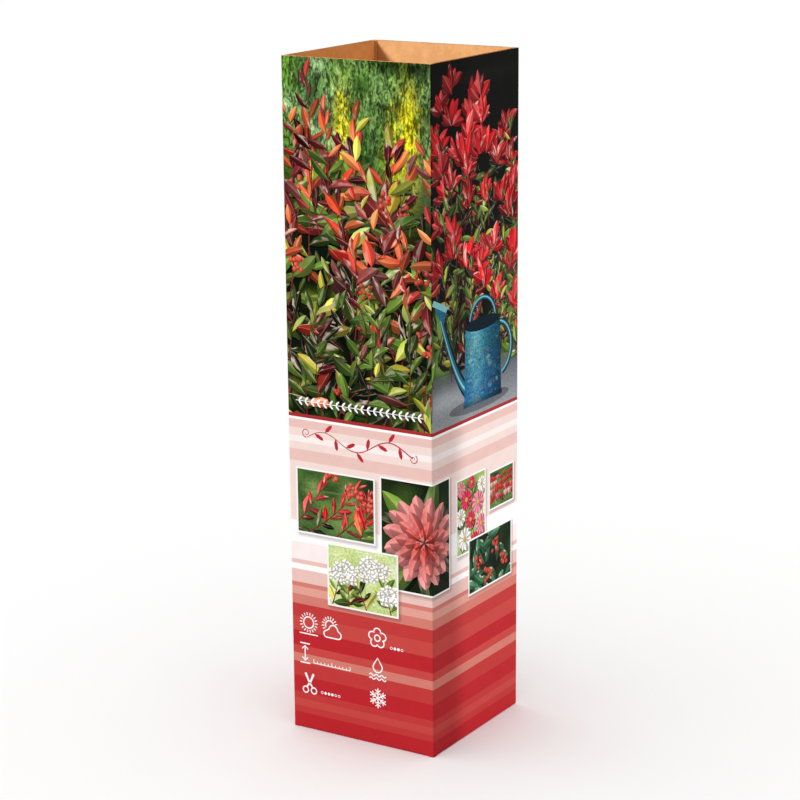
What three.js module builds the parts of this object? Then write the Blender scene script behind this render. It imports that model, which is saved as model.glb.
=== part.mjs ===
// A tall, open carton for a pot plant. It is one blank of corrugated board: four walls between
// creased folds, glued along one corner, with two outer and two inner flaps for the bottom.
// Millimetres, +Z up. The origin is on the floor under the middle of the carton, whose front
// faces -Y and whose right side faces +X.

import * as THREE from 'three';

// Driving dimensions
const SIDE = 122; // outside width of each of the four faces
const HEIGHT = 500; // outside height, from the floor to the cut rim
const BOARD = 3; // thickness of the corrugated board
const FOLD_REACH = 4.5; // how far a creased fold runs along each of the panels that it joins
const FOLD_RADIUS = 1.2; // outside radius of a fold
const CLEARANCE = 0.3; // between neighbouring pieces
const SEAM = 0.6; // gap where two bottom flaps meet
const CLIMB = 8; // run over which an inner flap climbs onto the outer flaps
const GLUE_FLAP_WIDTH = 28;
const GLUE_FLAP_INSET = 4; // how far the glue flap stays from the rim and from the bottom folds
const GLUE_FLAP_TAPER = 10; // how much shorter its free edge is, at the top and at the bottom
const ARC_STEPS = 8; // straight steps in a fold's rounded corner and in its bead

// Worked out from them
const HALF = SIDE / 2;
const BEAD_RADIUS = FOLD_REACH - BOARD; // the crushed liner bulges inwards along every crease
const PANEL_START = FOLD_REACH + CLEARANCE; // where a panel begins, from the outside of its fold
const PANEL_END = HALF - PANEL_START; // the same place, from the carton's middle
const JOINT_X = HALF - BOARD - CLEARANCE; // outside of the glue flap, inside the right wall
const INNER_FLAP_LEVEL = BOARD + CLEARANCE; // underside of an inner flap, on top of the outer ones
const QUARTER_TURN = Math.PI / 2;

const printed = { color: 0xc2564c, roughness: 0.45, metalness: 0 };
const kraft = { color: 0xc98f57, roughness: 0.85, metalness: 0 };

// One named piece: an outline extruded along its own +Z.
function extruded(name, outline, length, finish) {
  const geometry = new THREE.ExtrudeGeometry(outline, {
    depth: length,
    bevelEnabled: false,
    curveSegments: ARC_STEPS,
  });
  const mesh = new THREE.Mesh(geometry, new THREE.MeshStandardMaterial(finish));
  mesh.name = name;
  return mesh;
}

function polygon(points) {
  return new THREE.Shape(points.map(([x, y]) => new THREE.Vector2(x, y)));
}

// Turns a piece so that its outline's x runs inwards along +Y, its outline's y up along +Z, and
// the extrusion along +X.
function laidAlongX(mesh) {
  const across = new THREE.Vector3(0, 1, 0);
  const up = new THREE.Vector3(0, 0, 1);
  const along = new THREE.Vector3(1, 0, 0);
  mesh.quaternion.setFromRotationMatrix(new THREE.Matrix4().makeBasis(across, up, along));
  return mesh;
}

// The section of a creased fold. Its outside corner is at the origin, and the two panels that it
// joins go off along +x and +y, with the bead on the inside.
function foldOutline() {
  const outline = new THREE.Shape();
  outline.moveTo(FOLD_REACH, 0);
  outline.lineTo(FOLD_REACH, BOARD);
  outline.absarc(BOARD, BOARD, BEAD_RADIUS, 0, QUARTER_TURN, false);
  outline.lineTo(0, FOLD_REACH);
  outline.lineTo(0, FOLD_RADIUS);
  outline.absarc(FOLD_RADIUS, FOLD_RADIUS, FOLD_RADIUS, 2 * QUARTER_TURN, 3 * QUARTER_TURN, false);
  return outline;
}

// The next four make their piece on the front side. A side's group turns it to its own face.
function wall(name, left, right) {
  const outline = polygon([[left, -HALF], [right, -HALF], [right, -HALF + BOARD], [left, -HALF + BOARD]]);
  const mesh = extruded(name, outline, HEIGHT - PANEL_START, printed);
  mesh.position.z = PANEL_START;
  return mesh;
}

function bottomFold(name, left, right) {
  const mesh = laidAlongX(extruded(name, foldOutline(), right - left, printed));
  mesh.position.set(left, -HALF, 0);
  return mesh;
}

// An outer flap lies flat on the floor, narrower than its wall so that the inner flaps can climb
// past its ends.
function outerFlap(name) {
  const end = PANEL_END - CLIMB - CLEARANCE;
  const outline = polygon([[-end, -PANEL_END], [end, -PANEL_END], [end, -SEAM / 2], [-end, -SEAM / 2]]);
  return extruded(name, outline, BOARD, kraft);
}

// An inner flap leaves its fold on the floor and climbs onto the outer flaps, where it is glued.
function innerFlap(name) {
  const underside = [
    [-PANEL_END, 0],
    [-PANEL_END + CLIMB, INNER_FLAP_LEVEL],
    [-SEAM / 2, INNER_FLAP_LEVEL],
  ];
  const top = underside.map(([inwards, z]) => [inwards, z + BOARD]).reverse();
  const mesh = laidAlongX(extruded(name, polygon([...underside, ...top]), 2 * PANEL_END, kraft));
  mesh.position.x = -PANEL_END;
  return mesh;
}

// A creased fold between two walls, standing on the floor at one corner of the carton.
function cornerFold(name, x, y, turn) {
  const mesh = extruded(name, foldOutline(), HEIGHT, printed);
  mesh.position.set(x, y, 0);
  mesh.rotation.z = turn;
  return mesh;
}

// The corner that is glued: the back wall folds on into a tapered flap behind the right wall,
// whose cut edge stands flush with the back.
function jointFold(name) {
  const mesh = extruded(name, foldOutline(), HEIGHT - PANEL_START, printed);
  mesh.position.set(JOINT_X, HALF, PANEL_START);
  mesh.rotation.z = 2 * QUARTER_TURN;
  return mesh;
}

function glueFlap(name) {
  const bottom = PANEL_START + GLUE_FLAP_INSET;
  const top = HEIGHT - GLUE_FLAP_INSET;
  const free = PANEL_END - GLUE_FLAP_WIDTH;
  const outline = polygon([
    [PANEL_END, bottom],
    [PANEL_END, top],
    [free, top - GLUE_FLAP_TAPER],
    [free, bottom + GLUE_FLAP_TAPER],
  ]);
  const mesh = laidAlongX(extruded(name, outline, BOARD, kraft));
  mesh.position.x = JOINT_X - BOARD;
  return mesh;
}

// Everything that hangs together on one face, made at the front and turned to its place.
function side(turns, pieces) {
  const group = new THREE.Group();
  group.rotation.z = turns * QUARTER_TURN;
  group.add(...pieces);
  return group;
}

const BACK_WALL_START = -(JOINT_X - PANEL_START);

const carton = new THREE.Group();
carton.name = 'plant_carton';
carton.add(
  side(0, [
    wall('front_wall', -PANEL_END, PANEL_END),
    bottomFold('front_bottom_fold', -PANEL_END, PANEL_END),
    outerFlap('front_outer_flap'),
  ]),
  side(1, [
    wall('right_wall', -PANEL_END, HALF),
    bottomFold('right_bottom_fold', -PANEL_END, HALF),
    innerFlap('right_inner_flap'),
  ]),
  side(2, [
    wall('back_wall', BACK_WALL_START, PANEL_END),
    bottomFold('back_bottom_fold', -PANEL_END, PANEL_END),
    outerFlap('back_outer_flap'),
  ]),
  side(3, [
    wall('left_wall', -PANEL_END, PANEL_END),
    bottomFold('left_bottom_fold', -PANEL_END, PANEL_END),
    innerFlap('left_inner_flap'),
  ]),
  cornerFold('front_left_fold', -HALF, -HALF, 0),
  cornerFold('front_right_fold', HALF, -HALF, QUARTER_TURN),
  cornerFold('back_left_fold', -HALF, HALF, -QUARTER_TURN),
  jointFold('joint_fold'),
  glueFlap('glue_flap'),
);

export default carton;
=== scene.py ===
# %% [markdown]
# # A printed cardboard plant box
#
# A potted shrub is sold in a tall, open box of corrugated board. The box is one blank: four walls
# between creased folds, glued along one corner, with four flaps that close the bottom. Outside it
# carries a glossy print of leaves over red and pink stripes. Inside it is bare brown kraft paper.
#
# The CAD model gives the size and the place of every panel. This lesson dresses each panel in the
# three papers that real corrugated board is made of, and then draws the print.

import math
import random
from dataclasses import dataclass

import bpy
import numpy as np
from mathutils import Matrix, Vector
from mathutils.geometry import delaunay_2d_cdt


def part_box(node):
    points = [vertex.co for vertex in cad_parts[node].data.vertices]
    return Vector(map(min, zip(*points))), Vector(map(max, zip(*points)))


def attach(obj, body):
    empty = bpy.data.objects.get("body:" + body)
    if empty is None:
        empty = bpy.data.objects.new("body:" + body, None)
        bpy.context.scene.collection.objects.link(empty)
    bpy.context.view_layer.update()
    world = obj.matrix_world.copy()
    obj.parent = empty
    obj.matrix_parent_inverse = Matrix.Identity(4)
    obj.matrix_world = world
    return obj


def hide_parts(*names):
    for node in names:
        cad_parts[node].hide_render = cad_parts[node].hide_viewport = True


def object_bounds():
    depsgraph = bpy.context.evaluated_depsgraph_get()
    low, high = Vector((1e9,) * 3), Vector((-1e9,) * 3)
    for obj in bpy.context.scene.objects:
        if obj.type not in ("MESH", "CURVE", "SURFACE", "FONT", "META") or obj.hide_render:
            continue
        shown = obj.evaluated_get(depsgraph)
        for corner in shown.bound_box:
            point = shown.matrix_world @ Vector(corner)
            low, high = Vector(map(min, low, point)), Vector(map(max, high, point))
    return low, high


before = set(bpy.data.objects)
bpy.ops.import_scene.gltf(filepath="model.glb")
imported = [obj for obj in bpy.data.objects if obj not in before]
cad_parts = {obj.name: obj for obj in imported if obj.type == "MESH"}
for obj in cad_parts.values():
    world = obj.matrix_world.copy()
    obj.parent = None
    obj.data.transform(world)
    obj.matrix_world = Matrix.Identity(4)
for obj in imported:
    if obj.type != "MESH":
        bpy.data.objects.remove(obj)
cad_low, cad_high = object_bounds()
print("CAD box", [round(n, 4) for n in (*cad_low, *cad_high)])

# %% [markdown]
# ## Sizes
#
# Everything is worked out from the CAD panels and from what B-flute board is like: two flat
# liners about 0.3 mm thick, and between them a thinner paper that is pressed into waves. The
# waves, called flutes, are 6.5 mm apart and run up the box, because that way it carries most.

# %% Sizes of the box and of its board
MM = 0.001
wall_low, wall_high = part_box("front_wall")
HALF = cad_high.x
HEIGHT = cad_high.z
BOARD = wall_high.y - wall_low.y
CLEARANCE = 0.3 * MM
PANEL_HALF = wall_high.x + CLEARANCE / 2  # each panel takes half of the gap to its fold
PANEL_FOOT = wall_low.z - CLEARANCE / 2
JOINT_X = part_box("joint_fold")[1].x
FOLD_RADIUS = 1.2 * MM
FOLD_REACH = HALF - PANEL_HALF
LINER = 0.3 * MM
FLUTE_PAPER = 0.25 * MM
FLUTE_PITCH = 6.5 * MM
print(f"{2 * HALF / MM:.0f} mm square, {HEIGHT / MM:.0f} mm high, board {BOARD / MM:.1f} mm")

# %% [markdown]
# ## Camera
#
# A long lens from a little above the middle, turned 32 degrees to the right of the front. The
# box then shows its front, its right side and a sliver of its inside.

# %% Camera
AZIMUTH, ELEVATION, ROLL = math.radians(31.94), math.radians(14.5), math.radians(-0.488)
TARGET = Vector((-3.3, 0, 245.6)) * MM
DISTANCE = 1.717
SENSOR, LENS = 36, 105.4  # millimetres, on the film


def aim(obj, backwards, roll=0.0):
    """Turns an object so that it looks against `backwards`, level apart from its roll."""
    right = Vector((0, 0, 1)).cross(backwards).normalized()
    up = backwards.cross(right).normalized()
    across = right * math.cos(roll) + up * math.sin(roll)
    upright = up * math.cos(roll) - right * math.sin(roll)
    obj.rotation_mode = "QUATERNION"
    obj.rotation_quaternion = Matrix((across, upright, backwards)).transposed().to_quaternion()


def direction(azimuth, elevation):
    """The way from the box towards something at this azimuth and elevation, front at 0."""
    level = math.cos(elevation)
    return Vector((math.sin(azimuth) * level, -math.cos(azimuth) * level, math.sin(elevation)))


def put_in_scene(name, data):
    made = bpy.data.objects.new(name, data)
    bpy.context.scene.collection.objects.link(made)
    return made


camera = put_in_scene("camera", bpy.data.cameras.new("camera"))
bpy.context.scene.camera = camera
camera.data.sensor_width, camera.data.lens = SENSOR, LENS
camera.data.clip_start, camera.data.clip_end = 0.05, 100
towards_camera = direction(AZIMUTH, ELEVATION)
camera.location = TARGET + towards_camera * DISTANCE
aim(camera, towards_camera, ROLL)
print("camera at", [round(n, 3) for n in camera.location])

# %% [markdown]
# ## Helpers for meshes and node trees
#
# The pieces are made as plain lists of points and faces, or by a Geometry Nodes tree. Both
# kinds end as an object at the origin that rides on the box's one body. Node trees are long to
# write, so small helpers make a tree with its sockets, or add a node, set its values and join its
# inputs in one call.

# %% Pieces of the box
PIECES = []


def add_piece(name, mesh, slot, *stands_for):
    """Puts a finished mesh into the scene as a piece of the box."""
    mesh.name = name
    piece = put_in_scene(name, mesh)
    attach(piece, "root")
    if stands_for:
        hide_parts(*stands_for)
    PIECES.append(piece)
    return piece


# %% Node helpers
def new_tree(name, kind, inputs, outputs):
    """A node group, its inputs and its outputs. Each of them is given as a name and a type."""
    tree = bpy.data.node_groups.new(name, kind)
    for way, sockets in (("INPUT", inputs), ("OUTPUT", outputs)):
        for socket, socket_kind in sockets.items():
            tree.interface.new_socket(socket, in_out=way, socket_type="NodeSocket" + socket_kind)
    given = tree.nodes.new("NodeGroupInput")
    result = tree.nodes.new("NodeGroupOutput")
    return tree, given.outputs, result.inputs


def node(tree, kind, values=None, **settings):
    """Adds a node. `values` maps an input's name or number to a number, a colour or a socket."""
    made = tree.nodes.new(kind)
    for name, value in settings.items():
        setattr(made, name, value)
    for key, value in (values or {}).items():
        if isinstance(value, bpy.types.NodeSocket):
            tree.links.new(value, made.inputs[key])
        else:
            made.inputs[key].default_value = value
    return made


def output_of(tree, kind, values=None, **settings):
    """Adds a node and gives its first output."""
    return node(tree, kind, values, **settings).outputs[0]


def math_node(tree, operation, *operands, clamp=False):
    values = dict(enumerate(operands))
    return output_of(tree, "ShaderNodeMath", values, operation=operation, use_clamp=clamp)


def product(tree, *factors, clamp=False):
    result = factors[0]
    for factor in factors[1:]:
        result = math_node(tree, "MULTIPLY", result, factor, clamp=clamp)
    return result


def scaled(tree, vector, factor):
    """A colour or a vector times a number."""
    values = {0: vector, "Scale": factor}
    return output_of(tree, "ShaderNodeVectorMath", values, operation="SCALE")


def mix_colours(tree, factor, first, second):
    """Blends two colours. The node has sockets for numbers and vectors too, with the same names,
    so the ones for colours go by their numbers."""
    values = {0: factor, 6: first, 7: second}
    return node(tree, "ShaderNodeMix", values, data_type="RGBA").outputs[2]


def noise(tree, place, scale, detail, distortion=0.0):
    values = {"Vector": place, "Scale": scale, "Detail": detail, "Distortion": distortion}
    return node(tree, "ShaderNodeTexNoise", values).outputs["Fac"]


def ramp(tree, value, low, high, to_low=0.0, to_high=1.0):
    """A smooth step from to_low to to_high while the value goes from low to high."""
    values = {"Value": value, "From Min": low, "From Max": high, "To Min": to_low, "To Max": to_high}
    return output_of(tree, "ShaderNodeMapRange", values, interpolation_type="SMOOTHSTEP")


def linear(red, green, blue):
    """A colour as a screen shows it, from 0 to 255, as the light that Blender reckons with."""
    parts = [channel / 255 for channel in (red, green, blue)]
    return tuple(c / 12.92 if c < 0.04045 else ((c + 0.055) / 1.055) ** 2.4 for c in parts)


# %% [markdown]
# ## Paper
#
# Kraft paper is a felt of long brown fibres. From a step away it is a warm brown with soft clouds
# in it. Close up it has short darker and lighter threads, mostly in the direction in which
# the paper ran through the mill. One shader group makes clouds and threads for every paper here,
# also as a height, because a print on paper still shows the fibres in its gloss. It reads the
# attribute `board`, which every panel carries: millimetres across and along the flutes.


# %% Shader group: paper fibres
def paper_fibres_group():
    group, given, result = new_tree(
        "paper_fibres",
        "ShaderNodeTree",
        {"Place": "Vector", "Light": "Color", "Dark": "Color", "Threads": "Float"},
        {"Colour": "Color", "Height": "Float"},
    )
    place = given["Place"]
    clouds = noise(group, place, 0.09, 4.0)
    along_the_mill = {"Vector": place, "Scale": (2.6, 0.5, 1.0)}
    stretched = output_of(group, "ShaderNodeMapping", along_the_mill, vector_type="POINT")
    threads = noise(group, stretched, 1.0, 5.0, 1.2)
    thread_mask = ramp(group, threads, 0.42, 0.68)
    cloud_mask = ramp(group, clouds, 0.35, 0.65)
    shaded = product(group, thread_mask, given["Threads"])
    both = math_node(group, "MULTIPLY_ADD", cloud_mask, 0.45, shaded, clamp=True)
    colour = mix_colours(group, both, given["Light"], given["Dark"])
    group.links.new(colour, result["Colour"])
    group.links.new(threads, result["Height"])
    return group


paper_fibres = paper_fibres_group()
print("shader group", paper_fibres.name)

# %% [markdown]
# Three kraft finishes share that group: the smooth liner, the thinner and darker paper of the
# flutes, and the raw edge that the cutting die leaves, which is paler and rougher.


# %% Kraft papers
def principled(material, roughness):
    """The material's main shader, with its roughness set."""
    material.use_nodes = True
    shader = material.node_tree.nodes["Principled BSDF"]
    shader.inputs["Roughness"].default_value = roughness
    return shader


def bump(tree, shader, height, distance, strength=1.0):
    values = {"Height": height, "Distance": distance, "Strength": strength}
    tree.links.new(output_of(tree, "ShaderNodeBump", values), shader.inputs["Normal"])


def read(tree, attribute, kind="Vector"):
    """What an attribute of the mesh says at each point."""
    return node(tree, "ShaderNodeAttribute", attribute_name=attribute).outputs[kind]


def kraft_paper(name, light, dark, threads, roughness):
    material = bpy.data.materials.new(name)
    shader = principled(material, roughness)
    tree = material.node_tree
    light, dark = (*linear(*light), 1), (*linear(*dark), 1)
    values = {"Place": read(tree, "board"), "Light": light, "Dark": dark, "Threads": threads}
    fibres = node(tree, "ShaderNodeGroup", values, node_tree=paper_fibres).outputs
    tree.links.new(fibres["Colour"], shader.inputs["Base Color"])
    shader.inputs["Specular IOR Level"].default_value = 0.25
    bump(tree, shader, fibres["Height"], 0.12 * MM, 0.5)
    return material


kraft_liner = kraft_paper("kraft_liner", (224, 172, 116), (198, 144, 88), 0.5, 0.82)
flute_paper = kraft_paper("flute_paper", (198, 142, 88), (164, 110, 62), 0.7, 0.9)
raw_edge = kraft_paper("raw_edge", (236, 186, 134), (198, 142, 92), 0.9, 0.95)
print("finishes", kraft_liner.name, flute_paper.name, raw_edge.name)

# %% [markdown]
# ## The papers of the board
#
# A liner and the fluting are the same thing to a modeller: a thin sheet whose height follows a
# sine wave. The fluting has a tall wave, and a liner a tiny one, the faint washboard that shows
# where the paper is glued to the crests. It is a shape that follows a rule, so a Geometry Nodes
# tree makes it: a grid, a wave, and a thickness. The tree also keeps each point's flat
# place as the attribute `board`, in millimetres.

# %% Geometry Nodes: one waved sheet of paper
POINTS_PER_FLUTE = 12


def waved_sheet_tree():
    sizes = dict.fromkeys(("Width", "Length", "Pitch", "Wave", "Paper"), "Float")
    tree, given, result = new_tree(
        "waved_sheet",
        "GeometryNodeTree",
        {**sizes, "Rows": "Int", "Material": "Material"},
        {"Geometry": "Geometry"},
    )
    tree.is_modifier = True
    flutes = math_node(tree, "DIVIDE", given["Width"], given["Pitch"])
    size = {
        "Size X": given["Width"],
        "Size Y": given["Length"],
        "Vertices X": math_node(tree, "MULTIPLY_ADD", flutes, POINTS_PER_FLUTE, 1),
        "Vertices Y": given["Rows"],
    }
    grid = output_of(tree, "GeometryNodeMeshGrid", size)
    position = output_of(tree, "GeometryNodeInputPosition")
    kept = output_of(
        tree,
        "GeometryNodeStoreNamedAttribute",
        {"Geometry": grid, "Name": "board", "Value": scaled(tree, position, 1 / MM)},
        data_type="FLOAT_VECTOR",
        domain="POINT",
    )
    across = node(tree, "ShaderNodeSeparateXYZ", {0: position}).outputs["X"]
    angle = product(tree, math_node(tree, "DIVIDE", across, given["Pitch"]), math.tau)
    height = product(tree, math_node(tree, "SINE", angle), given["Wave"])
    rise = output_of(tree, "ShaderNodeCombineXYZ", {"Z": height})
    waved = output_of(tree, "GeometryNodeSetPosition", {"Geometry": kept, "Offset": rise})
    up = output_of(tree, "ShaderNodeCombineXYZ", {"Z": given["Paper"]})
    upwards = {"Mesh": waved, "Offset": up, "Offset Scale": 1.0, "Individual": False}
    top = output_of(tree, "GeometryNodeExtrudeMesh", upwards)
    underside = output_of(tree, "GeometryNodeFlipFaces", {"Mesh": waved})
    both = tree.nodes.new("GeometryNodeJoinGeometry")
    for part in (top, underside):
        tree.links.new(part, both.inputs[0])
    near = {"Geometry": both.outputs[0], "Distance": 1e-6}
    welded = output_of(tree, "GeometryNodeMergeByDistance", near)
    real = output_of(tree, "GeometryNodeRealizeInstances", {"Geometry": welded})
    wearing = {"Geometry": real, "Material": given["Material"]}
    painted = output_of(tree, "GeometryNodeSetMaterial", wearing)
    tree.links.new(painted, result["Geometry"])
    return tree


waved_sheet = waved_sheet_tree()
print("geometry tree", waved_sheet.name, "with", len(waved_sheet.nodes), "nodes")

# %% [markdown]
# A modifier's inputs are set by their identifiers before the object is first evaluated. The
# result is read as a plain mesh, and the helper object goes away again. A panel then takes its
# papers at their heights in the board: outer liner, fluting and inner liner.

# %% A panel from its papers
WASHBOARD = 0.02 * MM
FLUTE_WAVE = (BOARD - 2 * LINER - FLUTE_PAPER) / 2 - 0.01 * MM


def sheet_mesh(width, length, wave, paper, material, rows=2):
    """One waved sheet as a mesh: flutes along Y, its underside at height 0 on average."""
    helper = put_in_scene("helper", bpy.data.meshes.new("helper"))
    modifier = helper.modifiers.new("sheet", "NODES")
    modifier.node_group = waved_sheet
    values = {"Width": width, "Length": length, "Pitch": FLUTE_PITCH, "Wave": wave, "Paper": paper}
    values |= {"Rows": rows, "Material": material}
    for item in waved_sheet.interface.items_tree:
        if item.in_out == "INPUT":
            modifier[item.identifier] = values[item.name]
    evaluated = helper.evaluated_get(bpy.context.evaluated_depsgraph_get())
    mesh = bpy.data.meshes.new_from_object(evaluated)
    bpy.data.objects.remove(helper)
    return mesh


def lifted(mesh, height):
    mesh.transform(Matrix.Translation((0, 0, height)))
    return mesh


def inner_liner(width, length, rows=2):
    mesh = sheet_mesh(width, length, WASHBOARD, LINER - WASHBOARD, kraft_liner, rows)
    return lifted(mesh, BOARD - LINER)


def fluting(width, length, rows=2):
    mesh = sheet_mesh(width, length, FLUTE_WAVE, FLUTE_PAPER, flute_paper, rows)
    return lifted(mesh, (BOARD - FLUTE_PAPER) / 2)


def outer_liner(width, length, rows=2):
    return sheet_mesh(width, length, 0.0, LINER, kraft_liner, rows)


def joined(meshes):
    """Several meshes as one, with their materials kept."""
    parts = [put_in_scene("part", mesh) for mesh in meshes]
    with bpy.context.temp_override(
        active_object=parts[0], selected_editable_objects=parts, selected_objects=parts
    ):
        bpy.ops.object.join()
    mesh = parts[0].data
    bpy.data.objects.remove(parts[0])
    return mesh


# %% [markdown]
# ## The walls' inner papers
#
# All four walls are made at the front and turned to their own side. In a panel's own axes the
# flutes run along Y and the board grows towards the inside along Z, so a wall stands up when X
# goes to -X, Y to Z and Z to Y. The right wall runs on to the back, where its cut edge
# shows, and the back wall stops short of it.

# %% Inner liners and fluting of the walls
STANDING = Matrix(((-1, 0, 0), (0, 0, 1), (0, 1, 0))).to_4x4()
SIDES = ("front", "right", "back", "left")
WALL_SPANS = {
    "front": (-PANEL_HALF, PANEL_HALF),
    "right": (-PANEL_HALF, HALF),
    "back": (FOLD_REACH - JOINT_X, PANEL_HALF),
    "left": (-PANEL_HALF, PANEL_HALF),
}


def turn(side):
    """The turn about the box's middle that takes the front to this side."""
    return Matrix.Rotation(SIDES.index(side) * math.pi / 2, 4, "Z")


def stand_on(side, mesh, middle_x, middle_z):
    place = Matrix.Translation((middle_x, -HALF, middle_z))
    mesh.transform(turn(side) @ place @ STANDING)
    return mesh


wall_height = HEIGHT - PANEL_FOOT
for side in SIDES:
    start, end = WALL_SPANS[side]
    middle = ((start + end) / 2, PANEL_FOOT + wall_height / 2)
    lining = stand_on(side, inner_liner(end - start, wall_height), *middle)
    add_piece(f"{side}_inner_liner", lining, "kraft_board")
    waves = stand_on(side, fluting(end - start, wall_height), *middle)
    piece = add_piece(f"{side}_fluting", waves, "kraft_board")
    print(piece.name, len(piece.data.polygons), "faces")


# %% [markdown]
# ## Folds
#
# A crease is pressed into the board before it is folded. The flutes are crushed flat there, and
# on the inside the liner bulges into a bead between two fine grooves. One outline serves every
# fold: it is drawn round the inside, and extruded along the fold.

# %% Section of a fold
BEAD_RADIUS = 1.35 * MM
GROOVE_DEPTH = 0.28 * MM
GROOVE_MOUTH = FOLD_REACH - 0.1 * MM
ARC_STEPS = 8


def arc(centre, radius, start, end, steps=ARC_STEPS):
    """Points on an arc, from one angle to another in degrees."""
    angles = [math.radians(start + (end - start) * i / steps) for i in range(steps + 1)]
    return [(centre[0] + radius * math.cos(a), centre[1] + radius * math.sin(a)) for a in angles]


def fold_outline(skin):
    """The fold's section, with its outside corner at the origin and the two legs along +x and
    +y. `skin` is the thickness left off outside, for the printed liner."""
    groove_foot = BOARD + BEAD_RADIUS
    inside = [(FOLD_REACH, BOARD), (GROOVE_MOUTH, BOARD), (groove_foot, BOARD - GROOVE_DEPTH)]
    bead = arc((BOARD, BOARD), BEAD_RADIUS, 4, 86)
    mirrored = [(y, x) for x, y in reversed(inside)]
    centre = (FOLD_RADIUS, FOLD_RADIUS)
    outside = arc(centre, FOLD_RADIUS - skin, 180, 270)
    return [(FOLD_REACH, skin)] + inside + bead + mirrored + [(skin, FOLD_REACH)] + outside


print("a fold has", len(fold_outline(LINER)), "points round its section")

# %% [markdown]
# An extruded fold wears three papers: kraft inside, the raw edge at its two ends, and a skin
# outside. Its flat place in millimetres is walked off along the section, for the paper's fibres.


# %% Creased folds
def extruded(outline, low, high, material, skin_material=None):
    """A closed prism. Its ends take the raw edge, and its outside the skin's material."""
    count = len(outline)
    points = [(x, y, z) for z in (low, high) for x, y in outline]
    sides = [(i, (i + 1) % count, (i + 1) % count + count, i + count) for i in range(count)]
    ends = [tuple(reversed(range(count))), tuple(range(count, 2 * count))]
    mesh = bpy.data.meshes.new("fold")
    mesh.from_pydata(points, [], sides + ends)
    for finish in (material, raw_edge, skin_material or material):
        mesh.materials.append(finish)
    first_outside = count - ARC_STEPS - 2
    for index, face in enumerate(mesh.polygons):
        if index >= count:
            face.material_index = 1
        elif index >= first_outside or index == count - 1:
            face.material_index = 2
        face.use_smooth = index < count
    board = mesh.attributes.new("board", "FLOAT_VECTOR", "POINT")
    walked = [0.0]
    for (x0, y0), (x1, y1) in zip(outline, outline[1:]):
        walked.append(walked[-1] + math.hypot(x1 - x0, y1 - y0))
    for i, item in enumerate(board.data):
        item.vector = (walked[i % count] / MM, points[i][2] / MM, 0)
    mesh.set_sharp_from_angle(angle=math.radians(30))
    return mesh


def corner_fold(name, x, y, degrees, low):
    mesh = extruded(fold_outline(LINER), low, HEIGHT, kraft_liner)
    place = Matrix.Translation((x, y, 0)) @ Matrix.Rotation(math.radians(degrees), 4, "Z")
    mesh.transform(place)
    return add_piece(f"{name}_crease", mesh, "kraft_board", name)


corner_fold("front_left_fold", -HALF, -HALF, 0, 0)
corner_fold("front_right_fold", HALF, -HALF, 90, 0)
corner_fold("back_left_fold", -HALF, HALF, -90, 0)
piece = corner_fold("joint_fold", JOINT_X, HALF, 180, PANEL_FOOT)
print(piece.name, len(piece.data.polygons), "faces")

# %% [markdown]
# ## The bottom
#
# Each wall ends in a flap. The outer pair, from the front and the back, lies on the floor. The
# inner pair comes from the sides, climbs onto it and is glued down. All four are the same
# three papers as the walls, joined into one piece each, with their flutes running inwards. The
# rows of points are packed close where an inner flap bends, and far apart where it is flat.

# %% Bottom flaps
CLIMB_RUN = 8 * MM
CLIMB_ROWS = 0.8  # share of the rows that the climb gets
FLAP_ROWS = 12


def board_panel(width, length, rows=2):
    return joined([f(width, length, rows) for f in (outer_liner, fluting, inner_liner)])


def bend_upwards(mesh, length, rise):
    """Lets a flap, with its fold at -Y, climb by `rise` over its first few millimetres."""
    board = mesh.attributes["board"].data
    for vertex, item in zip(mesh.vertices, board):
        share = vertex.co.y / length + 0.5
        if share < CLIMB_ROWS:
            run = CLIMB_RUN * share / CLIMB_ROWS
        else:
            run = CLIMB_RUN + (length - CLIMB_RUN) * (share - CLIMB_ROWS) / (1 - CLIMB_ROWS)
        climbed = min(run / CLIMB_RUN, 1)
        vertex.co.y = run - length / 2
        vertex.co.z += rise * climbed * climbed * (3 - 2 * climbed)
        item.vector.y = vertex.co.y / MM


def bottom_flap(side, name, half_width, reach, rise):
    length = reach + CLEARANCE / 2
    mesh = board_panel(2 * half_width, length, FLAP_ROWS if rise else 2)
    if rise:
        bend_upwards(mesh, length, rise)
    mesh.transform(turn(side) @ Matrix.Translation((0, length / 2 - PANEL_HALF, 0)))
    return add_piece(f"{name}_board", mesh, "kraft_board", name)


outer_low, outer_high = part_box("front_outer_flap")
inner_low, inner_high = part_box("left_inner_flap")
for side in ("front", "back"):
    bottom_flap(side, f"{side}_outer_flap", outer_high.x, outer_high.y - outer_low.y, 0)
for side in ("left", "right"):
    rise = inner_high.z - BOARD
    piece = bottom_flap(side, f"{side}_inner_flap", inner_high.y, inner_high.x - inner_low.x, rise)
print(piece.name, "climbs", round(rise / MM, 1), "mm")

# %% [markdown]
# ## The glued corner
#
# The back wall folds on into a flap 28 mm wide, which is glued to the inside of the right wall.
# Its ends are cut at a slant so that it never sticks out at the rim.

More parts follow.
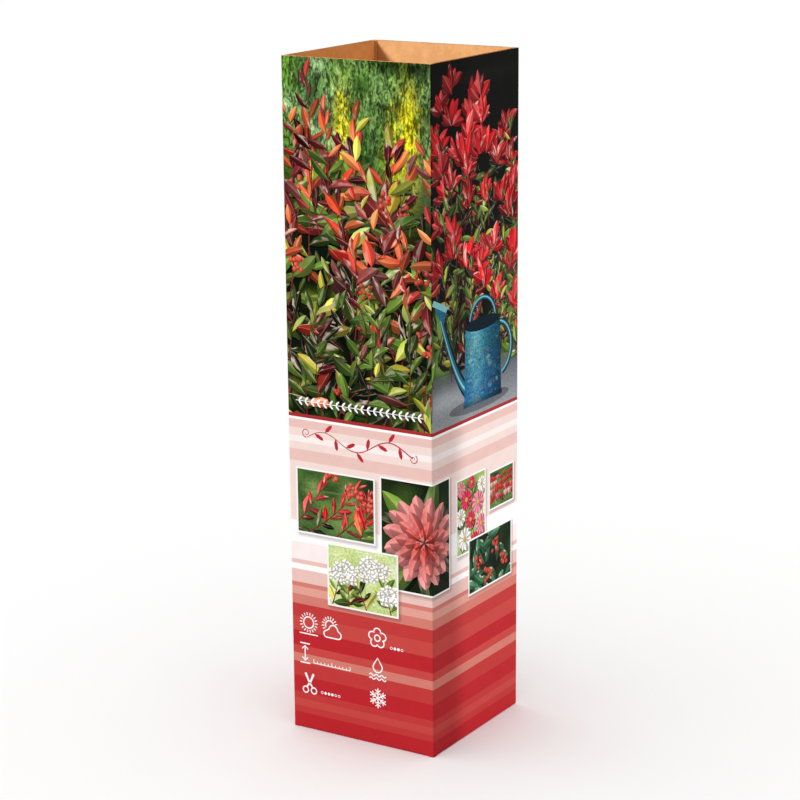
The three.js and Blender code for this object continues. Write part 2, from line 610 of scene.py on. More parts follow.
# %% Glue flap
GLUE_TAPER = 10 * MM
glue_low, glue_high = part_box("glue_flap")
glue_width = glue_high.y - glue_low.y + CLEARANCE / 2
glue_height = glue_high.z - glue_low.z
glue_panel = board_panel(glue_width, glue_height)
for vertex in glue_panel.vertices:
    towards_free_edge = vertex.co.x / glue_width + 0.5
    vertex.co.y *= 1 - GLUE_TAPER * towards_free_edge / (glue_height / 2)
AGAINST_RIGHT_WALL = Matrix(((0, 0, -1), (-1, 0, 0), (0, 1, 0))).to_4x4()
glue_middle = (JOINT_X, glue_low.y + glue_width / 2, (glue_low.z + glue_high.z) / 2)
glue_panel.transform(Matrix.Translation(glue_middle) @ AGAINST_RIGHT_WALL)
piece = add_piece("glue_flap_board", glue_panel, "kraft_board", "glue_flap")
print(piece.name, [round(n / MM) for n in piece.dimensions])

# %% [markdown]
# ## The print
#
# The outside carries a picture print. An image file would be the usual way to put it on, but a
# print can also be a drawing: every leaf, petal and stripe is an outline, and outlines can be cut
# out of the sheet itself. All outlines of a wall are laid over each other and a constrained
# Delaunay triangulation cuts the sheet along every line. Each triangle then takes the ink of the
# topmost shape over it. The sheet stays one flat skin, with edges that are sharp at any size.
#
# Sheet coordinates are millimetres: across from the wall's left edge as seen from outside, and up
# from the floor.

# %% Shapes and artwork
SHEET = 122.0
TOP = 500.0
BARE = (0, 0, 0)  # the leaf coordinates of plain ink
OPAQUE = 0.999  # the cover from which an ink hides what is under it


def wound(outline):
    """The outline in the anticlockwise order that the triangulation asks for."""
    turned = outline[1:] + outline[:1]
    area = sum(x0 * y1 - x1 * y0 for (x0, y0), (x1, y1) in zip(outline, turned))
    return outline if area > 0 else outline[::-1]


@dataclass
class Shape:
    """An inked outline. `paint` is a colour with its cover, or gives one for a point. `detail`
    gives the leaf coordinates that the shader draws ribs and gloss from."""

    outline: list
    paint: object
    crease: tuple = ()
    detail: object = BARE
    window: int = 0
    hidden: bool = False

    def is_opaque(self):
        return callable(self.paint) or self.paint[3] > OPAQUE


def carried(value, shift):
    """A paint or a detail that moves along with its shape. One that is plain stays as it is."""
    if callable(value) and shift:
        return lambda x, y: value(x - shift, y)
    return value


class Artwork:
    """The shapes of one wall, bottom first. Shape 0 is the bare sheet. `shift` moves what is added,
    `window` is the shape that it shows through, and `light` is how bright leaves are drawn."""

    def __init__(self, seed, outline):
        self.random = random.Random(seed)
        self.shift = 0.0
        self.light = 1.0
        self.window = 0
        self.shapes = [Shape(wound(outline), (*linear(255, 255, 255), 1))]
        self.loose_points = []

    def add(self, outline, paint, crease=(), detail=BARE):
        shift = self.shift
        moved = wound([(x + shift, y) for x, y in outline])
        creased = [(x + shift, y) for x, y in crease]
        paint, detail = carried(paint, shift), carried(detail, shift)
        self.shapes.append(Shape(moved, paint, creased, detail, self.window))
        return len(self.shapes) - 1


# %% [markdown]
# A few helpers place and blend points and colours. The last one draws something on a spare
# sheet and counts its shapes, to show what a drawing costs.


# %% Small helpers for drawing
def rectangle(left, low, right, high):
    return [(left, low), (right, low), (right, high), (left, high)]


def disc(x, y, radius, steps=10, squash=1.0):
    turns = [math.tau * i / steps for i in range(steps)]
    return [(x + radius * math.cos(a), y + radius * squash * math.sin(a)) for a in turns]


def onwards(x, y, way, length):
    """The point that lies a length away in a direction."""
    return x + length * math.cos(way), y + length * math.sin(way)


def between(start, end, share):
    return start + (end - start) * share


def mix(first, second, share):
    return tuple(between(a, b, share) for a, b in zip(first, second))


def clamp(value, low=0.0, high=1.0):
    return min(max(value, low), high)


def within(box, across, up):
    """A place in a box, by its shares of the way across and up."""
    left, low, right, high = box
    return between(left, right, across), between(low, high, up)


def show_cost(what, draw, *values):
    spare = Artwork(0, rectangle(0, 0, SHEET, TOP))
    draw(spare, *values)
    print(what, "takes", len(spare.shapes) - 1, "shapes")


# %% [markdown]
# A leaf is a lance shape with its midrib as a crease. Each point of it knows how far along the
# leaf it lies, and how far across from the rib, so one shader can draw the rib, the veins and
# the shine of every leaf. A leaf is folded along its rib, and one half catches the light.

# %% Leaves
STATIONS = (0.0, 0.14, 0.34, 0.56, 0.78, 0.92, 1.0)
LIGHT_FROM = (-0.5, 0.87)


def lance(share):
    """Half-width of a lance leaf at a share of its length: pointed, and widest past its middle."""
    return math.sin(math.pi * share**1.12) ** 0.85 if 0 < share < 1 else 0.0


def round_petal(share):
    return math.sin(math.pi * share**1.5) ** 0.6 if 0 < share < 1 else 0.0


def leaf(art, foot, heading, length, width, base, tip, gloss=0.5, bend=0.0, fold=1.0, form=lance,
         shadow=0.0, stations=STATIONS):
    along = (math.cos(heading), math.sin(heading))
    across = (-along[1], along[0])
    lit = 1 if across[0] * LIGHT_FROM[0] + across[1] * LIGHT_FROM[1] > 0 else -1

    def place(share, side):
        x = share * length
        y = bend * length * share * share + side * (fold if side < 0 else 1) * width / 2 * form(share)
        return (foot[0] + along[0] * x + across[0] * y, foot[1] + along[1] * x + across[1] * y)

    def inner_place(x, y):
        dx, dy = x - foot[0], y - foot[1]
        share = clamp((dx * along[0] + dy * along[1]) / length)
        side = dx * across[0] + dy * across[1] - bend * length * share * share
        half = max(form(share) * width / 2 * (fold if side < 0 else 1), 1e-3)
        return share, clamp(side / half, -1, 1)

    def paint(x, y):
        share, _ = inner_place(x, y)
        return (*mix(base, tip, share), 1)

    def detail(x, y):
        share, side = inner_place(x, y)
        return share, side * lit, gloss

    upper = [place(s, 1) for s in stations]
    lower = [place(s, -1) for s in reversed(stations[1:-1])]
    if shadow:
        drop = 0.055 * length
        dark = [(x + drop * 0.7, y - drop) for x, y in upper + lower]
        art.add(dark, (0.0, 0.0, 0.0, shadow))
    crease = [place(s, 0) for s in (0, 0.34, 0.7, 1)]
    art.add(upper + lower, paint, crease, detail)


def stroke(art, points, widths, colour, rounded=False):
    """A line with its own width at each end, drawn as one outline."""
    left, right = [], []
    count = len(points) - 1
    for i, (x, y) in enumerate(points):
        x0, y0 = points[max(i - 1, 0)]
        x1, y1 = points[min(i + 1, count)]
        run = math.hypot(x1 - x0, y1 - y0) or 1
        half = (widths[0] + (widths[1] - widths[0]) * i / count) / 2
        side = (-(y1 - y0) / run * half, (x1 - x0) / run * half)
        left.append((x + side[0], y + side[1]))
        right.append((x - side[0], y - side[1]))
    art.add(left + right[::-1], (*colour, 1))
    if rounded:
        for (x, y), width in ((points[0], widths[0]), (points[-1], widths[1])):
            art.add(disc(x, y, width / 2, 8), (*colour, 1))


print("half-widths along a leaf", [round(lance(share), 2) for share in STATIONS])

# %% [markdown]
# What colours a leaf takes is up to a palette, a function that draws two colours for a leaf at
# some place on its shoot: one for the leaf's foot and one for its tip. Young leaves, near the end
# of the shoot, are red.

# %% Palettes
FIERY = ((222, 74, 42), (230, 106, 60), (202, 46, 34), (212, 66, 60), (226, 130, 72))
WINE = ((116, 32, 40), (84, 18, 28), (60, 14, 22), (150, 54, 54), (140, 84, 78))
GREEN = ((64, 98, 30), (96, 134, 44), (42, 72, 26), (84, 116, 48), (120, 150, 58))
LIME = ((172, 192, 58), (202, 208, 88), (150, 170, 104), (214, 188, 62))
DEEP = ((22, 42, 20), (34, 58, 26), (16, 28, 16))
SCARLET = ((216, 24, 36), (232, 42, 48), (182, 14, 28), (238, 82, 84), (202, 18, 38))


def pick(art, colours):
    return linear(*art.random.choice(colours))


def dimmed(colour, light):
    return tuple(min(channel * light, 1.0) for channel in colour)


def blend_of(*choices):
    """A palette that draws a leaf's colours from several sets, each with its own weight."""
    sets, weights = zip(*choices)

    def palette(art, share):
        colours = art.random.choices(sets, weights)[0]
        return pick(art, colours), pick(art, colours)

    return palette


old_wood = blend_of((GREEN, 5), (WINE, 3), (LIME, 1))
young_wood = blend_of((FIERY, 6), (WINE, 3), (LIME, 0.9))
old_green = blend_of((GREEN, 9), (DEEP, 4), (LIME, 3), (WINE, 2), (FIERY, 1))
dark_green = blend_of((DEEP, 3), (GREEN, 2))
all_scarlet = blend_of((SCARLET, 1))


def young_red(art, share):
    return (young_wood if share > 0.4 else old_wood)(art, share)


def scarlet_tips(art, share):
    return (all_scarlet if share > 0.3 else old_green)(art, share)


# %% [markdown]
# Leaves grow on shoots. A shoot is a thin bent stem with leaves to its left and right in turn:
# wide apart and large low down, close and small at the tip. Each leaf is turned, bent, folded
# and lit a little differently, as on a living plant.

# %% Shoots
STEM_STEPS = 6
STEM_BROWN = (122, 44, 36)
LARGE_LEAF = 9  # from this length on, a leaf's outline takes all its stations


def shoot(art, foot, heading, length, leaf_size, palette, count=10, bend=0.0, shadow=0.0,
          spread=62, slim=0.3, wild=0.3):
    """A stem with leaves. Returns the place of its tip."""
    draw = art.random
    stem = [foot]
    for i in range(STEM_STEPS):
        way = heading + bend * (i + 1) / STEM_STEPS
        x, y = stem[-1]
        dx, dy = math.cos(way) * length / STEM_STEPS, math.sin(way) * length / STEM_STEPS
        stem.append((x + dx, y + dy))
    stroke(art, stem, (1.1, 0.4), dimmed(linear(*STEM_BROWN), art.light))
    for i in range(count):
        share = (i + 1) / count
        spot = share * STEM_STEPS * 0.999
        k = int(spot)
        place = mix(stem[k], stem[k + 1], spot - k)
        side = 1 if i % 2 else -1
        opening = math.radians(spread - (spread - 14) * share**1.5) * side
        way = heading + bend * share + opening + draw.uniform(-wild, wild)
        size = leaf_size * (1.12 - 0.45 * share) * draw.uniform(0.75, 1.2)
        base, tip = palette(art, share)
        light = art.light * draw.uniform(0.28, 1.45)
        wide = size * slim * draw.uniform(0.8, 1.2)
        leaf(art, place, way, size, wide, dimmed(base, light), dimmed(tip, light),
             gloss=draw.uniform(0.1, 1.0) ** 1.5, bend=draw.uniform(-0.26, 0.26),
             fold=draw.uniform(0.25, 1.0), shadow=shadow,
             stations=STATIONS if size > LARGE_LEAF else STATIONS[::2])
    return stem[-1]


show_cost("a shoot", shoot, (0, 0), 1.5, 60, 20, young_red)

# %% [markdown]
# Berries and blossoms are small sets of discs and petals. A disc with a crease inside shades
# from there to its rim, which makes it look round. In a flat head of flowers, each one lies a
# golden angle on from the last, as nature does it, so that they fill the head evenly.

# %% Berries and blossoms
GOLDEN_ANGLE = 2.39996


def ball(art, x, y, radius, bright, dark, steps=10):
    """A disc that shades from a bright point, up on the left, to its rim."""
    glint = (x - radius * 0.3, y + radius * 0.35)

    def paint(px, py):
        share = clamp(math.hypot(px - glint[0], py - glint[1]) / (1.35 * radius))
        return (*mix(bright, dark, share), 1)

    crease = [glint, (x + radius * 0.1, y - radius * 0.1)]
    art.add(disc(x, y, radius, steps), paint, crease)


def blossom(art, x, y, radius, petals, colour, heart, start=0.0):
    shade = dimmed(colour, 0.72)
    for i in range(petals):
        way = start + math.tau * i / petals
        foot = onwards(x, y, way, 0.12 * radius)
        wide = 1.9 * radius * math.sin(math.pi / petals)
        leaf(art, foot, way, radius * 0.9, wide, shade, colour, gloss=0.05, form=round_petal,
             stations=(0.0, 0.3, 0.6, 0.85, 1.0))
    ball(art, x, y, radius * 0.24, heart, dimmed(heart, 0.5), steps=8)


def umbel(art, x, y, radius, count, size, colour):
    """A flat head of small flowers, scattered in a disc."""
    heart = linear(216, 190, 92)
    for i in range(count):
        reach = radius * math.sqrt((i + 0.5) / count)
        way = i * GOLDEN_ANGLE + art.random.uniform(-0.3, 0.3)
        spot = (x + reach * math.cos(way), y + reach * 0.7 * math.sin(way))
        tone = dimmed(colour, art.light * art.random.uniform(0.78, 1.0))
        blossom(art, *spot, size * art.random.uniform(0.85, 1.15), 5, tone, heart, start=way)


def berries(art, middle, count):
    """A hanging bunch of red berries."""
    draw = art.random
    bright, dark = (dimmed(linear(*c), art.light) for c in ((246, 110, 84), (136, 12, 22)))
    for _ in range(count):
        spot = (middle[0] + draw.uniform(-5, 5), middle[1] + draw.uniform(-5, 5))
        ball(art, *spot, draw.uniform(1.5, 2.2), bright, dark)


show_cost("a head of flowers", umbel, 60, 60, 12, 22, 3.0, (1, 1, 1))

# %% [markdown]
# ## Grounds
#
# Behind the leaves lies an out-of-focus garden. Blur has no edges, so it needs no outlines: a
# scatter of loose points is added to the sheet, each takes the colour of a smooth
# function of its place, and the triangles between them shade from one to the next.


# %% Blurred grounds
def soft_ground(art, left, low, right, high, colour_at, spacing, mottle=0.5, streaks_from=None):
    """Fills a rectangle with a smooth colour field, and makes it the window for what follows.
    Above `streaks_from` the shader adds the streaks of distant foliage."""
    art.window = 0

    def paint(x, y):
        return (*colour_at(x, y), 1)

    def detail(x, y):
        streaks = clamp((y - streaks_from) / 40) if streaks_from else 0
        return streaks, 0, -mottle

    art.window = art.add(rectangle(left, low, right, high), paint, detail=detail)
    columns = max(int((right - left) / spacing), 1)
    rows = max(int((high - low) / spacing), 1)
    for i in range(columns):
        for j in range(rows):
            x = left + (i + art.random.uniform(0.2, 0.8)) * (right - left) / columns
            y = low + (j + art.random.uniform(0.2, 0.8)) * (high - low) / rows
            art.loose_points.append((x + art.shift, y))


def blobs(ground, *spots):
    """A colour field: a ground colour, and soft spots (x, y, width, height, colour) on it."""

    def colour_at(x, y):
        colour = ground(x, y) if callable(ground) else ground
        for cx, cy, wide, high, tint in spots:
            reach = ((x - cx) / wide) ** 2 + ((y - cy) / high) ** 2
            colour = mix(colour, tint, math.exp(-reach))
        return colour

    return colour_at


def scattered(art, left, low, right, high, count, size, colours):
    """Random soft spots for `blobs`."""
    draw = art.random
    return [
        (draw.uniform(left, right), draw.uniform(low, high), size * draw.uniform(0.6, 1.4),
         size * draw.uniform(0.6, 1.4), linear(*draw.choice(colours)))
        for _ in range(count)
    ]


# %% [markdown]
# ## The large pictures
#
# The front and the back show a hedge against bright conifers. Behind it, soft spots of light and
# shade are laid on a ground that is dark at its foot. Faint upright blades over them give the
# conifers their grain.

# %% The garden behind the hedge
PICTURE_FOOT = 243.2


def feathers(art, left, low, right, high, count, size, colours):
    """Faint upright blades, like the foliage of a conifer out of focus."""
    draw = art.random
    for _ in range(count):
        x, y = draw.uniform(left, right), draw.uniform(low, high)
        lean, length = draw.uniform(-0.5, 0.5), size * draw.uniform(0.6, 1.4)
        tip = (x + lean * length, y + length)
        wide = 0.12 * length
        outline = [(x, y), (x + wide, y + length * 0.5), tip, (x - wide, y + length * 0.5)]
        art.add(outline, (*pick(art, colours), draw.uniform(0.25, 0.6)))


def hedge_ground(art):
    def far(x, y):
        up = clamp((y - 380) / 90)
        return mix(linear(10, 18, 8), mix(linear(88, 130, 40), linear(116, 148, 88), x / SHEET), up)

    spots = scattered(art, 0, 242, SHEET, 400, 50, 6, ((40, 66, 20), (8, 14, 8), (96, 116, 34)))
    spots += scattered(art, 0, 430, 56, 500, 18, 8, ((140, 172, 116), (84, 122, 70), (46, 72, 36)))
    spots += scattered(art, 60, 430, SHEET, 500, 18, 8, ((76, 124, 40), (40, 70, 24), (26, 44, 18)))
    spots += [(104, 446, 7, 34, linear(226, 214, 30)), (92, 430, 6, 22, linear(198, 200, 40))]
    spots += [(50, 446, 6, 28, linear(214, 206, 40)), (112, 496, 14, 10, linear(28, 40, 24))]
    soft_ground(art, 0, PICTURE_FOOT, SHEET, TOP, blobs(far, *spots), 4.5, 0.6, 400)
    feathers(art, 0, 400, 54, 494, 110, 7, ((176, 206, 150), (104, 146, 84), (40, 66, 34)))
    feathers(art, 54, 400, SHEET, 494, 120, 8, ((104, 156, 52), (30, 54, 20), (140, 180, 76)))
    for middle in (50, 92, 104):
        feathers(art, middle - 5, 410, middle + 5, 470, 40, 8, ((240, 224, 40), (150, 140, 30)))


show_cost("the garden", hedge_ground)

# %% [markdown]
# The hedge wears its spring colours: red young leaves above green ones, with berries among them.
# It is drawn from the back row to the front row, each row lower than the one behind it, over a
# litter of dim leaves that fills the gaps. The sun is on the tips.

# %% The hedge picture
HEDGE_ROWS, HEDGE_COLUMNS = 8, 7
LITTER = 200


def hedge_litter(art):
    draw = art.random
    for _ in range(LITTER):
        x, y = draw.uniform(-3, SHEET + 3), draw.uniform(236, 410)
        art.light = draw.uniform(0.12, 0.5)
        base, tip = (dimmed(c, art.light) for c in old_green(art, 0))
        size = draw.uniform(10, 19)
        leaf(art, (x, y), draw.uniform(0, math.tau), size, size * 0.4, base, tip, 0.2,
             draw.uniform(-0.3, 0.3), draw.uniform(0.3, 1), stations=STATIONS[::2])


def hedge_picture(art):
    draw = art.random
    hedge_ground(art)
    hedge_litter(art)
    for row in range(HEDGE_ROWS):
        for column in range(HEDGE_COLUMNS):
            x = (column + draw.uniform(0.1, 0.9)) * SHEET / HEDGE_COLUMNS
            crown = 466 - 26 * (x / SHEET) + 13 * math.sin(x / 11 + 2)
            tip_height = crown - 24 * row + draw.uniform(-10, 10)
            length = draw.uniform(50, 70)
            sun = 0.88 + 0.42 * clamp((tip_height - 330) / 90)
            art.light = sun * draw.uniform(0.56, 1.14)
            palette = young_red if tip_height > 352 + draw.uniform(-34, 20) else old_green
            heading = math.pi / 2 + draw.uniform(-0.5, 0.5)
            foot = (x - math.cos(heading) * length, tip_height - length)
            shoot(art, foot, heading, length, draw.uniform(20, 26), palette, 8,
                  draw.uniform(-0.7, 0.7), 0.6, slim=0.42, wild=0.55)
            if draw.random() < 0.16:
                berries(art, (x, tip_height - length * 0.45), 8)
    art.light = 1.0
    for x, y, length in ((24, 406, 80), (38, 404, 60)):
        shoot(art, (x, y), math.pi / 2 - 0.05, length, 19, young_red, 11, 0.15, 0.3, slim=0.4)


show_cost("the hedge picture", hedge_picture)

# %% [markdown]
# The right and the left show a scarlet bush behind a turquoise watering can, before a dark wall.
# The can's body is a set of upright strips whose colour turns from lit to shaded, as on any
# round vessel. Blotches of other blues, rust and lime scale give it its age.

# %% The body of the can
CAN_STRIPS = 12
ENAMEL = (0, 0, -1.1)  # leaf coordinates with a negative third one: mottled ink
PATINA = ((96, 176, 186), (30, 92, 132), (18, 66, 100), (150, 190, 186), (112, 92, 66), (40, 130, 150))


def glaze(side, share):
    """The can's colour from its left edge, at -1, to its right edge, at 1, and from foot to rim."""
    lit = math.exp(-(((side + 0.4) / 0.36) ** 2))
    body = mix(linear(22, 92, 150), linear(40, 116, 122), share)
    dark = mix(body, linear(10, 38, 60), clamp(side * 0.8 + 0.15))
    return mix(dark, linear(120, 186, 190), 0.6 * lit * (0.35 + 0.65 * share))


def round_body(art, middle, low, high, low_half, high_half, tone=1.0):
    for i in range(CAN_STRIPS):
        sides = [math.sin(math.pi * (k / CAN_STRIPS - 0.5)) for k in (i, i + 1)]
        reach = [(middle + side * low_half, middle + side * high_half) for side in sides]

        def paint(x, y, sides=sides, reach=reach):
            share = clamp((y - low) / (high - low))
            start, end = (between(*pair, share) for pair in reach)
            side = between(*sides, clamp((x - start) / (end - start)))
            return (*dimmed(glaze(side, share), tone), 1)

        (x0, x1), (x2, x3) = reach
        art.add([(x0, low), (x2, low), (x3, high), (x1, high)], paint, detail=ENAMEL)


def blotches(art, left, low, right, high, count, size, colours):
    draw = art.random
    for _ in range(count):
        x, y = draw.uniform(left, right), draw.uniform(low, high)
        radius = size * draw.uniform(0.3, 1.0) ** 1.5
        ragged = [(x + (px - x) * draw.uniform(0.4, 1.4), y + (py - y) * draw.uniform(0.4, 1.2))
                  for px, py in disc(x, y, radius, 9)]
        art.add(ragged, (*pick(art, colours), draw.uniform(0.12, 0.4)), detail=ENAMEL)


show_cost("a body", round_body, 60, 0, 50, 23, 21)

# %% [markdown]
# The spout and the handles are pipes. A pipe is three lines on each other, from dark and wide to
# bright and thin, each a little nearer to the light.

# %% The watering can
CAN_SIZE = 1.16


def curved(start, pull, end, steps=9):
    """Points on a curve between two ends, bent towards a third point."""
    shares = [k / steps for k in range(steps + 1)]
    return [mix(mix(start, pull, s), mix(pull, end, s), s) for s in shares]


def watering_can(art, middle, foot):
    size = CAN_SIZE
    dark, mid, bright = linear(10, 38, 56), linear(34, 112, 140), linear(140, 200, 206)

    def at(x, y):
        return middle + size * x, foot + size * y

    def pipe(points, widths):
        for colour, share, lift in ((dark, 1.0, 0), (mid, 0.6, 0.12), (bright, 0.18, 0.24)):
            moved = [(x - lift * widths[0], y + lift * 0.7 * widths[0]) for x, y in points]
            stroke(art, moved, [size * share * width for width in widths], colour)

    art.add(disc(*at(-4, 0.5), 37 * size, 24, 0.13), (0.02, 0.02, 0.03, 0.55))
    pipe(arc(at(19, 30), 17 * size, -72, 84, 16), (3.8, 3.8))
    pipe(curved(at(-17, 9), at(-31, 16), at(-50, 62)), (10, 4.2))
    art.add([at(-47.5, 58), at(-52.5, 62), at(-59, 72), at(-43.5, 66)], (*mid, 1), detail=(0, 0, -1.0))
    art.add([at(-61, 71.5), at(-58.5, 74.5), at(-42, 67.5), at(-44.5, 64.5)], (*bright, 1))
    half, high = 23 * size, 50 * size
    round_body(art, middle, foot, foot + high, half, half - 2)
    round_body(art, middle, foot, foot + 3.6, half + 1, half + 1, 0.5)
    round_body(art, middle, foot + high - 7, foot + high - 4, half - 0.8, half - 0.8, 1.25)
    art.add(disc(middle, foot + high, half - 2, 24, 0.2), (*linear(8, 26, 36), 1))
    pipe(arc(at(0, 50), 16 * size, 12, 168, 16), (3.2, 3.2))
    blotches(art, middle - half + 3, foot + 4, middle + half - 3, foot + high - 9, 130, 3.6, PATINA)


show_cost("the watering can", watering_can, 71, 251)

# %% [markdown]
# The wall behind the bush is nearly black, and the can stands on a grey slab. The bush's young
# leaves stand in whorls, nine to each, round the tips of its twigs.


# %% Wall, slab and whorls
def can_ground(art):
    wall = linear(8, 8, 6)

    def far(x, y):
        ground = mix(linear(88, 94, 98), linear(150, 154, 158), clamp((276 - y) / 34))
        return mix(ground, wall, clamp((y - 280) / 3))

    spots = scattered(art, 92, 286, SHEET, 372, 20, 8, ((62, 96, 44), (130, 160, 64), (40, 70, 34)))
    spots += scattered(art, 0, 286, 22, 330, 14, 6, ((120, 156, 76), (150, 176, 92), (70, 104, 50)))
    spots += [(60, 486, 70, 3, linear(20, 20, 18)), (20, 262, 26, 8, linear(176, 180, 184))]
    soft_ground(art, 0, PICTURE_FOOT, SHEET, TOP, blobs(far, *spots), 5, 0.35)


def whorl(art, x, y, size, light, lean):
    """Broad scarlet leaves round one tip, the upright ones last and longest."""
    draw = art.random
    for k in range(9):
        opening = (4 - k // 2) * 0.36 * (-1 if k % 2 else 1)
        way = math.pi / 2 + lean + opening + draw.uniform(-0.16, 0.16)
        length = size * (1.1 - 0.2 * abs(opening)) * draw.uniform(0.75, 1.15)
        tone = light * draw.uniform(0.55, 1.35) * (0.6 if k < 3 else 1)
        base, tip = (dimmed(pick(art, SCARLET), tone) for _ in range(2))
        leaf(art, (x + draw.uniform(-2, 2), y + draw.uniform(-3, 4)), way, length, length * 0.5,
             base, tip, gloss=draw.uniform(0, 1) ** 2, bend=draw.uniform(-0.22, 0.22),
             fold=draw.uniform(0.35, 1), shadow=0.5)


show_cost("a whorl", whorl, 60, 400, 16, 1.0, 0.0)

# %% [markdown]
# The bush is built up like a real one: dark leaves deep inside, bare stems, short green shoots,
# and then nine rows of whorls from the back to the front. The can is drawn last.

# %% The scarlet bush
WHORL_ROWS, WHORL_COLUMNS = 9, 6
BUSH_MIDDLE = 61


def outwards(x):
    """How far a shoot leans to the left, which grows with its distance from the middle."""
    return (BUSH_MIDDLE - x) * 0.006


def bush_inside(art):
    draw = art.random
    for _ in range(190):
        x, y = draw.uniform(-2, SHEET + 2), draw.uniform(286, 436)
        base, tip = (dimmed(c, draw.uniform(0.2, 0.8)) for c in dark_green(art, 0))
        size = draw.uniform(12, 19)
        leaf(art, (x, y), draw.uniform(-0.4, 3.6), size, size * 0.5, base, tip, 0.3,
             draw.uniform(-0.2, 0.2), draw.uniform(0.5, 1), stations=STATIONS[::2])
    for _ in range(20):
        foot = (BUSH_MIDDLE + draw.uniform(-42, 42), 284)
        spread = (foot[0] - BUSH_MIDDLE) * 0.35
        top = (foot[0] + spread + draw.uniform(-5, 5), draw.uniform(350, 420))
        stroke(art, [foot, mix(foot, top, 0.5), top], (1.5, 0.7), linear(48, 24, 20))
    for _ in range(50):
        art.light = draw.uniform(0.4, 1.0)
        x, y = draw.uniform(2, SHEET - 2), draw.uniform(290, 410)
        shoot(art, (x, y - 22), math.pi / 2 + outwards(x), 26, 15, old_green, 5, 0.2, 0.45,
              slim=0.46)


def can_picture(art):
    draw = art.random
    can_ground(art)
    bush_inside(art)
    for row in range(WHORL_ROWS):
        for column in range(WHORL_COLUMNS):
            x = (column + draw.uniform(0.1, 0.9)) * SHEET / WHORL_COLUMNS
            crown = 474 - 30 * (x / SHEET) ** 1.5 - 12 * math.cos(x / 17)
            y = crown - 16 * row + draw.uniform(-8, 8)
            if draw.random() < 0.02 + 0.075 * row:
                continue
            light = (0.75 + 0.25 * row / (WHORL_ROWS - 1)) * draw.uniform(0.7, 1.15)
            whorl(art, x, y, draw.uniform(14, 19), light, outwards(x) + draw.uniform(-0.4, 0.4))
            if draw.random() < 0.4:
                art.light = 0.9
                shoot(art, (x + 6, y - 20), math.pi / 2, 22, 14, old_green, 4, 0.1, 0.4, slim=0.48)
    art.light = 1.0
    watering_can(art, 71, 251)


show_cost("the picture of the bush", can_picture)

# %% [markdown]
# ## Stripes
#
# The lower half is striped, all round the box, from pale pink at the top to deep red at the foot.
# A few tints of one red are enough: each stripe is its upper edge and its tint.

# %% Stripes
RULE_RED, RED, WARM_RED, BRICK = (170, 48, 50), (190, 40, 47), (195, 60, 59), (201, 73, 69)
SALMON, ROSE, SHELL = (213, 127, 115), (228, 162, 148), (235, 196, 188)
BLUSH, MILK, CHALK = (244, 221, 214), (252, 239, 236), (255, 254, 252)
STRIPES = (
    (PICTURE_FOOT, RULE_RED), (240.6, CHALK), (238.7, SHELL), (232.5, BLUSH), (226.5, MILK),
    (221.9, BLUSH), (216.3, SHELL), (207.6, BLUSH), (162.1, CHALK), (145.5, MILK),
    (132.1, SHELL), (128.9, CHALK), (124.5, SHELL), (114.4, SALMON), (111.1, ROSE),
    (104.9, SALMON), (97.6, WARM_RED), (87.7, BRICK), (76.6, RED), (64.9, BRICK),
    (58.8, SALMON), (52.0, WARM_RED), (40.7, RED), (28.2, WARM_RED), (22.9, BRICK),
    (17.2, WARM_RED), (12.0, RED),
)


def stripes(art):
    art.window = 0
    lower_edges = [edge for edge, _ in STRIPES[1:]] + [0.0]
    for (high, colour), low in zip(STRIPES, lower_edges):
        art.add(rectangle(0, low, SHEET, high), (*linear(*colour), 1))


print(len(STRIPES), "stripes in", len({tint for _, tint in STRIPES}), "tints")

# %% [markdown]
# ## Small framed pictures
#
# Between the large picture and the red foot lie small pictures, each with a white border and a
# soft shadow. A soft shadow is a few faint rounded rectangles on each other. A picture's shapes
# show only through its own window, so leaves may run past its edge.

# %% Frames
BORDER = 1.3
SHADOW_STEPS = 5
SHADOW_RIGHT, SHADOW_DOWN = 1.4, 1.6


def frame_round(art, left, low, right, high):
    art.window = 0
    for i in range(SHADOW_STEPS):
        grown = 0.5 * (SHADOW_STEPS - i) - 1.0
        x0, x1 = left + SHADOW_RIGHT - grown, right + SHADOW_RIGHT + grown
        y0, y1 = low - SHADOW_DOWN - grown, high - SHADOW_DOWN + grown
        cut = 1.2 + grown / 2
        outline = [(x0 + cut, y0), (x1 - cut, y0), (x1, y0 + cut), (x1, y1 - cut)]
        outline += [(x1 - cut, y1), (x0 + cut, y1), (x0, y1 - cut), (x0, y0 + cut)]
        art.add(outline, (0.10, 0.02, 0.02, 0.10))
    art.add(rectangle(left, low, right, high), (*linear(252, 250, 248), 1))
    return left + BORDER, low + BORDER, right - BORDER, high - BORDER


def framed_ground(art, box, colour, count, size, colours, spacing=3.5):
    """A frame with a blurred ground in it, which is the window for the motif."""
    inside = frame_round(art, *box)
    spots = scattered(art, *box, count, size, colours)
    soft_ground(art, *inside, blobs(linear(*colour), *spots), spacing)


show_cost("a frame", frame_round, 0, 0, 60, 50)

# %% [markdown]
# Six motifs fill the frames. The first is a branch with scarlet leaves and bunches of berries,
# and the second is one large pink bloom: five rings of petals, from the wide outer ones to the
# small deep red ones in the heart, over dark leaves.

# %% Berry branch and large bloom
LEAFY = ((88, 130, 54), (42, 72, 32), (130, 158, 88), (66, 100, 56), (26, 44, 22))
NIGHT = ((22, 32, 18), (38, 58, 26), (60, 84, 34), (14, 20, 14))
FRESH = ((196, 216, 130), (226, 236, 178), (156, 190, 86), (240, 244, 214))


